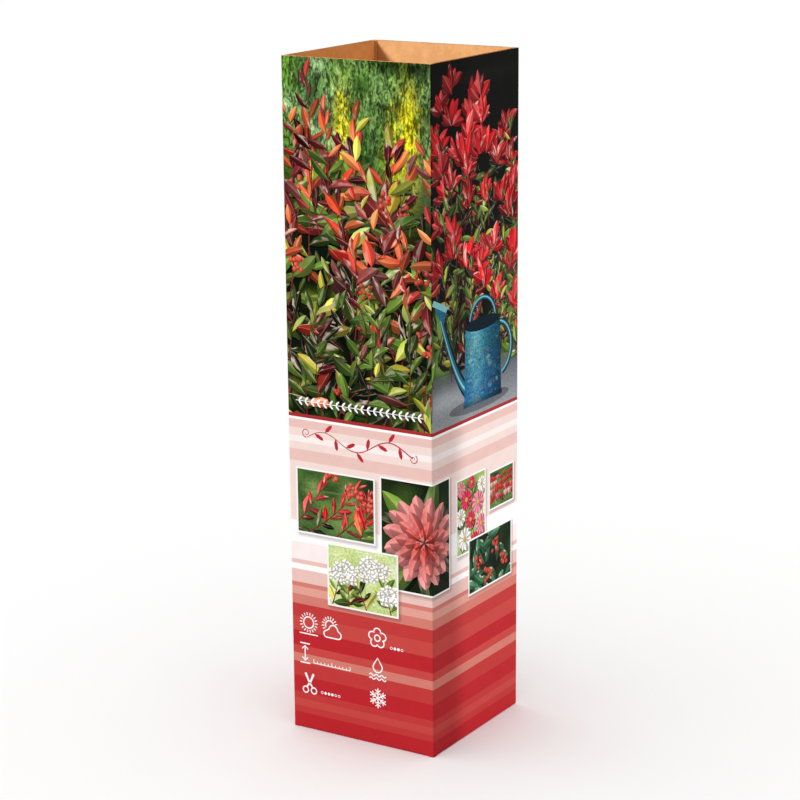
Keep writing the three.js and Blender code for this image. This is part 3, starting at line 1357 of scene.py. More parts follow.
def berry_branch(art, left, low, right, high):
    framed_ground(art, (left, low, right, high), (70, 104, 50), 30, 9, LEAFY)
    draw = art.random
    for start, lean, length in ((-0.1, 0.7, 64), (0.14, 0.5, 60), (0.5, 0.62, 46), (0.8, 1.1, 34)):
        foot = (left + start * (right - left), low + 1)
        art.light = draw.uniform(0.8, 1.15)
        tip = shoot(art, foot, lean, length, 15, scarlet_tips, 13, 0.4, 0.4, 50, 0.34)
        for _ in range(12):
            spot = (tip[0] + draw.uniform(-9, 5), tip[1] + draw.uniform(-9, 2))
            ball(art, *spot, draw.uniform(1.4, 2.2), linear(250, 130, 104), linear(146, 16, 26))


def large_bloom(art, left, low, right, high):
    framed_ground(art, (left, low, right, high), (24, 34, 18), 16, 11, NIGHT, 4.5)
    draw = art.random
    middle = ((left + right) / 2 + 3, (low + high) / 2 - 2)
    for i in range(9):
        way = math.tau * i / 9 + draw.uniform(-0.2, 0.2)
        base, tip = (dimmed(c, 1.2) for c in dark_green(art, 0))
        leaf(art, middle, way, draw.uniform(44, 54), 17, base, tip, 0.5, bend=0.1, shadow=0.5)
    for ring, (count, size) in enumerate(((15, 35), (13, 30), (11, 24), (9, 17), (6, 10))):
        depth = ring / 4
        for i in range(count):
            way = 0.4 * ring + math.tau * i / count + draw.uniform(-0.06, 0.06)
            base = mix(linear(150, 22, 34), linear(120, 14, 26), depth)
            tip = mix(linear(240, 158, 154), linear(218, 70, 60), depth)
            light = draw.uniform(0.8, 1.12)
            leaf(art, middle, way, size, size * (0.36 + 0.1 * depth), dimmed(base, light),
                 dimmed(tip, light), gloss=0.5, bend=0.08, form=round_petal, shadow=0.4)


show_cost("the large bloom", large_bloom, 0, 0, 44, 60)

# %% [markdown]
# Two bright ones follow: heads of white blossom over spring green, and daisies in white and pink
# on their stalks.


# %% White blossom and daisies
def spring_blossom(art, *box):
    framed_ground(art, box, (190, 212, 130), 22, 8, FRESH)
    for start, lean, length in ((0.06, 1.2, 30), (0.3, 1.5, 24), (0.56, 1.9, 26), (0.9, 1.75, 32)):
        art.light = 1.1
        shoot(art, within(box, start, 0), lean, length, 14, old_green, 9, 0.2, 0.25, 60, 0.4)
    for x, y, reach in ((0.24, 0.56, 12), (0.64, 0.68, 13), (0.88, 0.32, 9)):
        umbel(art, *within(box, x, y), reach, 22, 3.0, linear(252, 250, 246))
    art.light = 1.0


def garden_flowers(art, *box):
    framed_ground(art, box, (150, 184, 92), 26, 8, FRESH + LEAFY)
    draw = art.random
    places = (
        (0.52, 0.9, 5), (0.16, 0.86, 6), (0.86, 0.82, 6), (0.34, 0.7, 8), (0.74, 0.6, 9),
        (0.14, 0.5, 7), (0.48, 0.42, 7), (0.84, 0.3, 8), (0.28, 0.2, 9), (0.62, 0.12, 7),
    )
    for i, (x, y, size) in enumerate(places):
        spot = within(box, x, y)
        stroke(art, [(spot[0] + 3, box[1] - 4), spot], (0.9, 0.7), linear(90, 130, 56))
        for side in (-1, 1):
            heading = math.pi / 2 + side * draw.uniform(0.6, 1.1)
            leaf(art, (spot[0] + 1, spot[1] - 9), heading, 10, 3.6, *old_green(art, 1))
        colour = linear(*((224, 54, 92), (250, 246, 240), (240, 140, 160))[(i * 2) % 3])
        blossom(art, *spot, size, 11, colour, linear(236, 196, 70), draw.uniform(0, 1))


show_cost("the picture of daisies", garden_flowers, 0, 0, 42, 58)

# %% [markdown]
# The last two are a bed of red and pink tulips in rows, and berries among dark, glossy leaves.


# %% Tulips and dark leaves
def tulip_bed(art, left, low, right, high):
    framed_ground(art, (left, low, right, high), (64, 98, 46), 14, 7, LEAFY)
    draw = art.random
    colours = (*SCARLET, (232, 110, 128), (246, 180, 176))
    for row in range(4):
        for column in range(7):
            x = left + (column + draw.uniform(0.2, 0.8)) * (right - left) / 7
            y = high - 8.5 - 5.4 * row + draw.uniform(-1.2, 1.2)
            stroke(art, [(x, y - 9), (x, y + 0.5)], (0.7, 0.6), linear(84, 124, 56))
            for side in (-1, 1):
                leaf(art, (x, y - 9), math.pi / 2 + side * 0.5, 8, 1.9, pick(art, GREEN),
                     pick(art, GREEN), stations=STATIONS[::3])
            colour = pick(art, colours)
            size = 4.2 + 0.5 * row
            for opening in (-0.55, 0.55, 0.0):
                leaf(art, (x, y), math.pi / 2 + opening, size, size * 0.6, dimmed(colour, 0.6),
                     colour, gloss=0.2, form=round_petal, stations=STATIONS[::2])


def dark_leaves(art, left, low, right, high):
    box = (left, low, right, high)
    framed_ground(art, box, (24, 38, 26), 16, 9, NIGHT, 4)
    draw = art.random
    for _ in range(34):
        spot = (draw.uniform(left - 4, right), draw.uniform(low - 6, high - 4))
        base = linear(*draw.choice(((30, 84, 56), (46, 104, 72), (20, 58, 40))))
        tip = linear(*draw.choice(((92, 158, 118), (52, 116, 78), (34, 84, 58))))
        leaf(art, spot, draw.uniform(0, math.tau), draw.uniform(13, 21), 7.5, base, tip,
             gloss=0.8, bend=draw.uniform(-0.2, 0.2), shadow=0.5)
    for x, y in ((0.24, 0.52), (0.6, 0.66), (0.82, 0.34), (0.46, 0.22)):
        art.light = draw.uniform(0.8, 1.05)
        berries(art, within(box, x, y), 9)
    art.light = 1.0


show_cost("the tulip bed", tulip_bed, 0, 0, 37, 30)

# %% [markdown]
# ## Ornaments and pictograms
#
# White line pictograms on the red stripes say what a garden plant needs: full sun or part sun,
# the months of its blossom as a row of dots, its height with a ruler, water, shears and frost.
# They are all lines, and each line is an outline of its own. A closed line is drawn in two halves.

# %% Lines and loops
PEN = 1.0
VINE = linear(186, 44, 56)
WHITE = linear(255, 255, 255)


def circle(x, y, radius, start=0, end=360, steps=20):
    return arc((x, y), radius, start, end, steps)


def white_line(art, points, width=PEN):
    stroke(art, points, (width, width), WHITE, rounded=True)


def white_loop(art, points, width=PEN):
    """A closed line. It is drawn as two halves, because an outline mustn't meet itself."""
    half = len(points) // 2
    white_line(art, points[: half + 1], width)
    white_line(art, points[half:] + points[:1], width)


def sun_rays(art, x, y, near, far, start, end, count):
    for i in range(count):
        way = math.radians(start + (end - start) * i / (count - 1))
        ends = [onwards(x, y, way, radius) for radius in (near, far)]
        white_line(art, ends, 0.8)


show_cost("a loop", white_loop, circle(0, 0, 4)[:-1])

# %% [markdown]
# The upper signs: a sun over its horizon, a sun behind a cloud, and a blossom with five petals.


# %% Sun, part sun and blossom
def sun_sign(art, x, y):
    white_loop(art, circle(x, y, 4.4)[:-1])
    sun_rays(art, x, y, 6.0, 7.6, 0, 340, 18)
    white_line(art, [(x - 7.8, y - 9), (x + 7.8, y - 9)], 0.9)


def cloud_sign(art, x, y):
    white_line(art, circle(x - 2, y + 3.2, 3.6, 30, 205, 12))
    sun_rays(art, x - 2, y + 3.2, 5.0, 6.6, 15, 210, 10)
    outline = circle(x - 4.6, y - 3.8, 2.6, 100, 270, 8)
    outline += circle(x + 5.2, y - 3.6, 2.8, -90, 80, 8)
    outline += circle(x + 1.2, y - 0.2, 3.8, 12, 172, 12)
    white_loop(art, outline)


def blossom_sign(art, x, y):
    outline = []
    for i in range(5):
        way = 72 * i + 18
        outline += circle(*onwards(x, y, math.radians(way), 4.6), 3.0, way - 104, way + 104, 10)
    white_loop(art, outline)
    white_loop(art, circle(x, y, 2.4, steps=14)[:-1])


show_cost("the cloud sign", cloud_sign, 0, 0)

# %% [markdown]
# The lower signs: an arrow between two bars for the height, a drop over two waves, a pair of
# shears and an ice crystal.


# %% Height, water, shears and frost
def height_sign(art, x, y):
    for end in (-1, 1):
        white_line(art, [(x - 4, y + 7.6 * end), (x + 4, y + 7.6 * end)])
        tip = y + 5.8 * end
        white_line(art, [(x - 2.4, tip - 2.4 * end), (x, tip), (x + 2.4, tip - 2.4 * end)], 0.9)
    white_line(art, [(x, y - 5.4), (x, y + 5.4)])


def water_sign(art, x, y):
    """A drop over two waves."""
    white_loop(art, circle(x, y + 0.8, 3.9, 145, 395, 16) + [(x, y + 8)])
    for low in (-5.4, -8.2):
        wave = [(x - 7 + k, y + low + 0.8 * math.sin(k * 1.35)) for k in range(15)]
        white_line(art, wave, 0.9)


def shears_sign(art, x, y):
    for side in (-1, 1):
        white_loop(art, circle(x + 3.6 * side, y - 5.2, 2.4, steps=14)[:-1])
        blade = [(x + 2.6 * side, y - 3.0), (x - 0.6 * side, y + 1.4), (x - 3.6 * side, y + 8)]
        stroke(art, blade, (1.2, 1.9), WHITE)
    art.add(disc(x, y + 0.6, 0.7, 8), (*linear(*RED), 1))


def frost_sign(art, x, y):
    for i in range(6):
        way = math.radians(60 * i + 90)
        white_line(art, [(x, y), onwards(x, y, way, 7.4)], 0.9)
        for side in (-1, 1):
            for start, length in ((2.6, 2.2), (4.6, 2.6)):
                foot = onwards(x, y, way, start)
                tip = onwards(*foot, way + side * math.radians(50), length)
                white_line(art, [foot, tip], 0.8)


show_cost("the ice crystal", frost_sign, 0, 0)

# %% [markdown]
# Dots and a ruler go with the signs. They say how many and how high without a word or a number.

# %% Dots, ruler and the place of each sign
DOT_GAP = 3.0
RULER_GAP = 3.2


def dot_row(art, x, y, marks):
    """A row of dots, one for each mark: filled where it is 1, open where it is 0."""
    for i, mark in enumerate(marks):
        if mark:
            art.add(disc(x + DOT_GAP * i, y, 1.15, 12), (*WHITE, 1))
        else:
            white_loop(art, circle(x + DOT_GAP * i, y, 0.9, steps=12)[:-1], 0.4)


def ruler(art, x, y, count):
    white_line(art, [(x, y), (x + RULER_GAP * (count - 1), y)], 0.6)
    for i in range(count):
        mark = x + RULER_GAP * i
        white_line(art, [(mark, y), (mark, y + (1.6 if i % 5 else 3.0))], 0.6)


def signs(art):
    art.window = 0
    left, right = 14.6, 74.6
    sun_sign(art, left, 84)
    cloud_sign(art, left + 20.6, 82)
    blossom_sign(art, right, 83)
    dot_row(art, right + 12, 77.5, (0, 1, 1, 0))
    height_sign(art, left - 3.6, 59.5)
    ruler(art, left + 4, 53, 11)
    water_sign(art, right, 59.5)
    shears_sign(art, left, 36)
    dot_row(art, left + 11, 31, (0, 1, 1, 1, 0, 0))
    frost_sign(art, right, 36.4)


show_cost("the set of signs", signs)

# %% [markdown]
# A dark red vine runs under the large picture. Its stem is a sine wave that ends in two curls.
# A white garland crosses the foot of the picture.

# %% Vine and garland
GARLAND_HEIGHT = 253


def vine_leaf(art, foot, heading, size, colour):
    leaf(art, foot, heading, size, size * 0.4, colour, colour, gloss=0.0, stations=STATIONS[::2])
    art.shapes[-1].detail = BARE


def vine(art):
    art.window = 0
    points = [(16 + 90 * i / 40, 226 + 5.5 * math.sin(i / 40 * 3.2 * math.pi)) for i in range(41)]
    stroke(art, points, (0.5, 1.0), VINE)
    for x, y, start in ((15.6, 229.5, 270), (106.4, 222.2, 60)):
        curl = [onwards(x, y, math.radians(start - 24 * k), 3.6 - 2.6 * k / 18) for k in range(19)]
        stroke(art, curl, (0.8, 0.4), VINE)
    for k in range(3, 38, 4):
        side = 1 if (k // 4) % 2 else -1
        slope = math.atan2(points[k + 1][1] - points[k - 1][1], points[k + 1][0] - points[k - 1][0])
        vine_leaf(art, points[k], slope + side * 0.9, 9, VINE)


def garland(art):
    white_line(art, [(7, GARLAND_HEIGHT), (115, GARLAND_HEIGHT)], 0.5)
    for k in range(20):
        x = 9.5 + 5.3 * k
        for side in (-1, 1):
            vine_leaf(art, (x, GARLAND_HEIGHT), side * 0.8, 4.6, WHITE)


show_cost("the vine", vine)

# %% [markdown]
# ## The four sides
#
# Opposite sides have the same layout. The picture of the bloom is wrapped round a corner: the
# walls on both sides of it draw it from the same seed, one shifted by a wall's width.

# %% Artwork of a side
BLOOM_PLACE = (78, 122, 146, 206)
BLOOM_SEED = 5


def wrapped_bloom(art, shift):
    own_random = art.random
    art.random = random.Random(BLOOM_SEED)
    art.shift = shift
    large_bloom(art, *BLOOM_PLACE)
    art.shift = 0.0
    art.random = own_random


def front_artwork(seed, outline):
    art = Artwork(seed, outline)
    stripes(art)
    hedge_picture(art)
    garland(art)
    vine(art)
    berry_branch(art, 6, 153, 74, 203)
    wrapped_bloom(art, 0.0)
    spring_blossom(art, 32, 101, 93, 149)
    signs(art)
    return art


def side_artwork(seed, outline):
    art = Artwork(seed, outline)
    stripes(art)
    can_picture(art)
    wrapped_bloom(art, -SHEET)
    garden_flowers(art, 33, 142, 75, 200)
    tulip_bed(art, 80, 165, 117, 195)
    dark_leaves(art, 50, 108, 114, 151)
    return art


# %% [markdown]
# Most leaves of a dense picture lie under others. A leaf that is covered all over would
# only add cuts that nobody sees, so the shapes are first checked from the top down on a fine grid,
# and those that don't show in any cell of it are left out.

# %% Leaving out what is covered
CELLS_PER_MM = 2


def cells_inside(outline):
    """The grid cells whose middles lie inside an outline: two slices and a mask for them."""
    xs, ys = zip(*outline)
    left, low = (max(math.floor(min(part) * CELLS_PER_MM), 0) for part in (xs, ys))
    right = min(math.ceil(max(xs) * CELLS_PER_MM), int(SHEET * CELLS_PER_MM))
    high = min(math.ceil(max(ys) * CELLS_PER_MM), int(TOP * CELLS_PER_MM))
    across = (np.arange(left, max(right, left)) + 0.5) / CELLS_PER_MM
    up = ((np.arange(low, max(high, low)) + 0.5) / CELLS_PER_MM)[:, None]
    inside = np.zeros((len(up), len(across)), bool)
    for (x0, y0), (x1, y1) in zip(outline, outline[1:] + outline[:1]):
        if y0 != y1:
            crosses = (up > min(y0, y1)) & (up <= max(y0, y1))
            inside ^= crosses & (across < x0 + (up - y0) * (x1 - x0) / (y1 - y0))
    return slice(low, low + inside.shape[0]), slice(left, left + inside.shape[1]), inside


def leave_out_covered(art):
    covered = np.zeros((int(TOP * CELLS_PER_MM), int(SHEET * CELLS_PER_MM)), bool)
    windows = {}
    for number in range(len(art.shapes) - 1, 0, -1):
        shape = art.shapes[number]
        rows, columns, inside = cells_inside(shape.outline)
        if shape.window:
            if shape.window not in windows:
                seen_through = np.zeros_like(covered)
                where = cells_inside(art.shapes[shape.window].outline)
                seen_through[where[0], where[1]] = where[2]
                windows[shape.window] = seen_through
            inside &= windows[shape.window][rows, columns]
        shape.hidden = not (inside & ~covered[rows, columns]).any()
        if shape.is_opaque():
            covered[rows, columns] |= inside
    shown = [shape for shape in art.shapes if not shape.hidden]
    print(len(art.shapes), "shapes,", len(shown), "of them show")


# %% [markdown]
# ## Cutting the sheet
#
# The triangulation slows down with the square of what it cuts, so a sheet is cut in bands.
# A crossing point on the line between two bands comes out the same in both, and the bands are
# welded there.

# %% Cutting
BAND_HEIGHT = 33.0
WELD = 4  # decimals of a millimetre
CLOSE = 1e-5  # points nearer to each other than this are cut as one
FILLED = 1  # asks for triangles all over, and for the outlines that each lies in
BAND, WHOLE_SHEET = -1, 0  # the numbers of two outlines that aren't ink


def triangulated(points, edges, outlines):
    """Corners, triangles, and for each corner and triangle the points and outlines it is from."""
    made = delaunay_2d_cdt(points, edges, outlines, FILLED, CLOSE, True)
    return made[0], made[2], made[3], made[5]


def visible_shapes(art, owners):
    """The shapes over a triangle, from the top down to the first that covers it all."""
    seen = []
    for number in sorted(owners, reverse=True):
        shape = art.shapes[number]
        if shape.window in owners:
            seen.append(number)
            if shape.is_opaque():
                break
    return tuple(seen)


def inked(art, seen, x, y):
    """The ink and the leaf coordinates at one corner of a triangle."""
    colour, cover = (0, 0, 0), 0.0
    for number in seen:
        shape = art.shapes[number]
        ink = shape.paint(x, y) if callable(shape.paint) else shape.paint
        share = (1 - cover) * ink[3]
        colour = tuple(c + share * part for c, part in zip(colour, ink))
        cover += share
    detail = shape.detail
    return (*colour, 1), detail(x, y) if callable(detail) else detail


def cut_band(art, low, high, lines):
    """Triangles of one band, each with its corners and the shapes that show on it."""
    points = [Vector(p) for p in rectangle(-1, low, SHEET + 1, high)]
    outlines, edges, numbers = [[0, 1, 2, 3]], [], [BAND]

    def follow(path):
        first = len(points)
        points.extend(Vector(p) for p in path)
        edges.extend((first + i, first + i + 1) for i in range(len(path) - 1))

    for x in lines:
        follow([(x, low), (x, high)])
    for number, shape in enumerate(art.shapes):
        heights = [y for _, y in shape.outline]
        if shape.hidden or max(heights) <= low or min(heights) >= high:
            continue
        first = len(points)
        points.extend(Vector(p) for p in shape.outline)
        outlines.append(list(range(first, len(points))))
        numbers.append(number)
        if shape.crease:
            follow(shape.crease)
    points.extend(Vector(p) for p in art.loose_points if low < p[1] < high)
    corners, triangles, _, owners = triangulated(points, edges, outlines)
    for triangle, inputs in zip(triangles, owners):
        over = {numbers[k] for k in inputs}
        if BAND in over and WHOLE_SHEET in over:
            yield [tuple(corners[k]) for k in triangle], over


print("bands are up to", BAND_HEIGHT, "mm high")

# %% [markdown]
# ## Wrapping the sheet round the box
#
# A sheet coordinate becomes a place on the wall. The last 1.2 mm at a folded edge goes round
# half of the rounded corner, where the next wall's sheet meets it. The sheet could be bent there
# by a modifier, but the two halves have to meet exactly, so each point is placed by a formula.

# %% From the flat sheet to the wall
ROUND_STEPS = 4
SIDE_EDGES = {  # where a side's sheet ends, left and right, and the turn that it makes there
    "front": (-HALF, HALF, 45, 45),
    "right": (-HALF, HALF, 45, 0),
    "back": (-JOINT_X, HALF, 90, 45),
    "left": (-HALF, HALF, 45, 45),
}


def placed(side, x, y, depth):
    """The place of a point of the sheet, `depth` below the wall's skin, and the way outwards."""
    left, right, left_turn, right_turn = SIDE_EDGES[side]
    across = x * MM - HALF
    flat_left = left + (FOLD_RADIUS if left_turn else 0)
    flat_right = right - (FOLD_RADIUS if right_turn else 0)
    start, turned = across, 0.0
    if across < flat_left:
        start, turned = flat_left, -math.radians(left_turn) * (flat_left - across) / FOLD_RADIUS
    elif across > flat_right:
        start, turned = flat_right, math.radians(right_turn) * (across - flat_right) / FOLD_RADIUS
    reach = FOLD_RADIUS - depth
    out = Vector((math.sin(turned), -math.cos(turned), 0))
    centre = Vector((start, FOLD_RADIUS - HALF, y * MM))
    way = turn(side).to_3x3()
    return way @ (centre + out * reach), way @ out


def sheet_outline(side):
    """The sheet's outline in millimetres. At a folded edge it has a foot that stands on the floor,
    beside the fold of the bottom flap."""
    left, right, left_turn, right_turn = SIDE_EDGES[side]
    x0, x1 = (left + HALF) / MM, (right + HALF) / MM
    low, high = PANEL_FOOT / MM, HEIGHT / MM
    foot = FOLD_REACH / MM
    outline = [(x1, high), (x0, high)]
    outline += [(x0, 0), (foot, 0), (foot, low)] if left_turn == 45 else [(x0, low)]
    outline += [(SHEET - foot, low), (SHEET - foot, 0), (x1, 0)] if right_turn else [(x1, low)]
    return outline


def upright_lines(side):
    left, right, left_turn, right_turn = SIDE_EDGES[side]
    radius = FOLD_RADIUS / MM
    steps = [radius * i / ROUND_STEPS for i in range(1, ROUND_STEPS + 1)]
    lines = [(left + HALF) / MM + s for s in steps] if left_turn else []
    return lines + ([(right + HALF) / MM - s for s in steps] if right_turn else [])


print("upright lines of the front at", [round(x, 1) for x in upright_lines("front")])

# %% [markdown]
# The leaf shader turns a leaf's own coordinates into its look: a bright and a shaded half, a pale
# rib, faint veins and a patch of gloss. A drawing of these would take ten times the triangles.
# Each part of the look is a mask or a factor of its own.


# %% Light, rib and gloss of a leaf
def leaf_light(group, share, side, off_rib):
    """A lit and a shaded half, swelling from the rib, with slanting veins and a dim foot."""
    halves = ramp(group, side, -0.12, 0.12, 0.58, 1.22)
    swell = ramp(group, off_rib, 0.0, 1.0, 1.08, 0.86)
    slant = product(group, off_rib, -2.2)
    vein_wave = math_node(group, "MULTIPLY_ADD", share, 9.0, slant)
    veins = ramp(group, math_node(group, "PINGPONG", vein_wave, 0.5), 0.0, 0.14, 1.13, 1.0)
    return product(group, halves, swell, veins, ramp(group, share, 0.0, 0.22, 0.72, 1.0))


def rib_mask(group, share, off_rib):
    rib = ramp(group, off_rib, 0.03, 0.1, 0.2, 0.0)
    return product(group, rib, ramp(group, share, 0.75, 1.0, 1.0, 0.0))


def multiplied(group, vector, factors):
    values = {0: vector, 1: factors}
    return output_of(group, "ShaderNodeVectorMath", values, operation="MULTIPLY")


def gloss_mask(group, leaf_place, side, gloss):
    """A patch on the lit half. The gloss moves it, so that no two leaves shine alike."""
    patches = noise(group, multiplied(group, leaf_place, (2.6, 1.1, 40.0)), 1.0, 1.0)
    lit = product(group, ramp(group, patches, 0.48, 0.66), ramp(group, side, -0.1, 0.3))
    return product(group, lit, product(group, gloss, 0.75))


# %% [markdown]
# Where the third coordinate is negative, the ink is a blurred ground and gets soft mottling, and
# the first one is the share of upright streaks, as of a conifer hedge far off. Where all three
# are 0, the ink stays as it is.

# %% Streaks and mottling of a ground
PLAIN = 0.001  # up to this, either way, the third coordinate stands for plain ink


def ground_streaks(group, place):
    """How much brighter or darker than 1 the upright streaks are."""
    foliage = noise(group, multiplied(group, place, (0.3, 0.13, 1.0)), 1.0, 5.0, 1.5)
    return math_node(group, "SUBTRACT", ramp(group, foliage, 0.36, 0.66, 0.25, 1.9), 1.0)


def ground_mottle(group, place, third):
    strength = product(group, math_node(group, "MINIMUM", third, 0.0), -1.0)
    swing = product(group, math_node(group, "SUBTRACT", noise(group, place, 0.55, 4.0), 0.5), strength)
    return math_node(group, "MAXIMUM", math_node(group, "MULTIPLY_ADD", swing, 2.6, 1.0), 0.15)


# %% Shader group: leaves and grounds
RIB_PALE = linear(232, 190, 150)
GLOSS_PALE = linear(250, 222, 208)


def leaf_ink_group():
    inputs = {"Ink": "Color", "Leaf": "Vector", "Place": "Vector"}
    group, given, result = new_tree("leaf_ink", "ShaderNodeTree", inputs, {"Colour": "Color"})
    parts = node(group, "ShaderNodeSeparateXYZ", {0: given["Leaf"]}).outputs
    share, side, third = parts["X"], parts["Y"], parts["Z"]
    off_rib = math_node(group, "ABSOLUTE", side)
    is_leaf = math_node(group, "GREATER_THAN", third, PLAIN)
    is_ground = math_node(group, "LESS_THAN", third, -PLAIN)
    change = math_node(group, "SUBTRACT", leaf_light(group, share, side, off_rib), 1.0)
    colour = scaled(group, given["Ink"], math_node(group, "MULTIPLY_ADD", change, is_leaf, 1.0))
    rib = product(group, rib_mask(group, share, off_rib), is_leaf)
    colour = mix_colours(group, rib, colour, (*RIB_PALE, 1))
    shine = product(group, gloss_mask(group, given["Leaf"], side, third), is_leaf, clamp=True)
    colour = mix_colours(group, shine, colour, (*GLOSS_PALE, 1))
    streaked = product(group, is_ground, share)
    change = ground_streaks(group, given["Place"])
    colour = scaled(group, colour, math_node(group, "MULTIPLY_ADD", change, streaked, 1.0))
    colour = scaled(group, colour, ground_mottle(group, given["Place"], third))
    group.links.new(colour, result["Colour"])
    return group


leaf_ink = leaf_ink_group()
print("shader group", leaf_ink.name, "with", len(leaf_ink.nodes), "nodes")

# %% [markdown]
# The print is an offset print under a water varnish. It is smoother than bare paper but no
# mirror: the fibres still show in its gloss. Its ink comes from the attribute `ink`, which has a
# colour for each corner of each triangle, and so has a sharp edge wherever two shapes meet.

# %% Varnished print
VARNISH_ROUGHNESS = (0.38, 0.52)


def varnished_print():
    material = bpy.data.materials.new("varnished_print")
    shader = principled(material, VARNISH_ROUGHNESS[0])
    tree = material.node_tree
    place = read(tree, "board")
    inputs = {"Ink": read(tree, "ink", "Color"), "Leaf": read(tree, "leaf"), "Place": place}
    drawn = output_of(tree, "ShaderNodeGroup", inputs, node_tree=leaf_ink)
    inputs = {"Place": place, "Light": drawn, "Dark": scaled(tree, drawn, 0.93), "Threads": 0.4}
    fibres = node(tree, "ShaderNodeGroup", inputs, node_tree=paper_fibres).outputs
    roughness = ramp(tree, fibres["Height"], 0.3, 0.7, *VARNISH_ROUGHNESS)
    tree.links.new(fibres["Colour"], shader.inputs["Base Color"])
    tree.links.new(roughness, shader.inputs["Roughness"])
    shader.inputs["Specular IOR Level"].default_value = 0.02
    bump(tree, shader, fibres["Height"], 0.04 * MM, 0.4)
    return material


print_finish = varnished_print()
print("finish", print_finish.name)

# %% [markdown]
# ## Closing the sheet
#
# The cut triangles are the printed front of a liner. A real liner is 0.3 mm thick, so the sheet
# gets a kraft back with the same border but no cuts inside it, and a strip of narrow faces
# between the two borders. A Solidify modifier would copy all the cuts to the back as well.
#
# The print can be painted into an image through a map with a name of its own. The picture
# and the stripes lie side by side in it, because a sheet is four times as high as it is wide.
# The strip and the back need little room, at the map's right edge.

# %% The map for an image of the print
PICTURE_COLUMN, STRIPES_COLUMN, BACK_COLUMN = 0.004, 0.479, 0.975
FRONT_WIDTH, BACK_WIDTH = 0.467, 0.02
STRIP_LEFT, STRIP_RIGHT = 0.957, 0.967


def map_height(share):
    return 0.01 + 0.98 * share


def front_in_map(x, y, in_picture):
    """Where a point of the front lies in the map."""
    low, high = (PICTURE_FOOT, TOP) if in_picture else (0, PICTURE_FOOT)
    column = PICTURE_COLUMN if in_picture else STRIPES_COLUMN
    return column + FRONT_WIDTH * x / SHEET, map_height((y - low) / (high - low))


def back_in_map(point):
    return BACK_COLUMN + BACK_WIDTH * point.x / SHEET, map_height(point.y / TOP)


print("the picture lies from", front_in_map(0, PICTURE_FOOT, True), "in the map")

# %% [markdown]
# The front collects the triangles of all bands. A point on the line between two bands is known by
# its rounded place, so both use it. Ink and leaf coordinates are worked out once for each point
# and set of shapes, because most points belong to several triangles.


# %% The printed front
def bands():
    """The lower and the upper limit of each band. The outer two reach past the sheet."""
    count = math.ceil(TOP / BAND_HEIGHT)
    limits = [TOP * i / count for i in range(count + 1)]
    limits[0], limits[-1] = -1, TOP + 1
    return zip(limits, limits[1:])


def printed_front(art, lines):
    """The points and triangles of the front, and for each corner of a triangle its ink, its leaf
    coordinates and its place in the map."""
    known, drawn = {}, {}
    points, faces, inks, details, places = [], [], [], [], []

    def point_number(x, y):
        key = (round(x, WELD), round(y, WELD))
        if key not in known:
            known[key] = len(points)
            points.append((x, y))
        return known[key]

    for low, high in bands():
        for corners, over in cut_band(art, low, high, lines):
            (x0, y0), (x1, y1), (x2, y2) = corners
            if (x1 - x0) * (y2 - y0) < (x2 - x0) * (y1 - y0):
                corners = corners[::-1]
            face = [point_number(x, y) for x, y in corners]
            if len(set(face)) < 3:
                continue
            seen = visible_shapes(art, over)
            in_picture = sum(y for _, y in corners) / 3 > PICTURE_FOOT
            faces.append(face)
            for number, (x, y) in zip(face, corners):
                if (seen, number) not in drawn:
                    drawn[seen, number] = inked(art, seen, x, y)
                inks.append(drawn[seen, number][0])
                details.append(drawn[seen, number][1])
                places.append(front_in_map(x, y, in_picture))
    return points, faces, inks, details, places


# %% [markdown]
# An edge that belongs to one triangle only lies on the border. Such edges are followed from end
# to end. The back is cut again from that border alone.


# %% Border and back
def border_of(faces):
    """The numbers of the points round a sheet's border, in their order."""
    edges = dict.fromkeys(edge for face in faces for edge in zip(face, face[1:] + face[:1]))
    follows = {a: b for a, b in edges if (b, a) not in edges}
    border = [next(iter(follows))]
    while follows[border[-1]] != border[0]:
        border.append(follows[border[-1]])
    return border


def back_triangles(rim, lines):
    """Triangles within the border, turned to face inwards, with an edge along each upright line."""
    pairs = []
    for x in lines:
        on_line = [i for i, p in enumerate(rim) if abs(p.x - x) < 1e-4]
        on_line.sort(key=lambda i: rim[i].y)
        pairs.append((on_line[0], on_line[-1]))
    _, triangles, origins, owners = triangulated(rim, pairs, [list(range(len(rim)))])
    for triangle, inputs in zip(triangles, owners):
        if not inputs:
            continue  # it lies outside the border, as in the notch between the sheet's feet
        a, b, c = (origins[k][0] for k in triangle)
        (x0, y0), (x1, y1), (x2, y2) = rim[a], rim[b], rim[c]
        clockwise = (x1 - x0) * (y2 - y0) < (x2 - x0) * (y1 - y0)
        yield (a, b, c) if clockwise else (c, b, a)


# %% [markdown]
# Front, back and strip become one mesh. Its front takes the normals of the wall as it goes round
# the corner, so that the many thin triangles shade as one smooth sheet.


# %% Wall sheets
def attribute(mesh, name, kind, domain, values):
    made = mesh.attributes.new(name, kind, domain)
    flat = [part for value in values for part in value]
    made.data.foreach_set("color" if "COLOR" in kind else "vector", flat)


def close_sheet(points, faces, inks, details, places, lines):
    """Adds the faces of the back and the strip to those of the front. Returns the back's rim."""
    border = border_of(faces)
    first, total = len(points), len(border)
    rim = [Vector(points[number]) for number in border]
    for triangle in back_triangles(rim, lines):
        faces.append([first + k for k in triangle])
        places += [back_in_map(rim[k]) for k in triangle]
    for i in range(total):
        j = (i + 1) % total
        faces.append([border[i], first + i, first + j, border[j]])
        low, high = map_height(i / total), map_height((i + 1) / total)
        places += rectangle(STRIP_LEFT, low, STRIP_RIGHT, high)
    rest = len(places) - len(inks)
    inks += [(0, 0, 0, 1)] * rest
    details += [BARE] * rest
    return rim


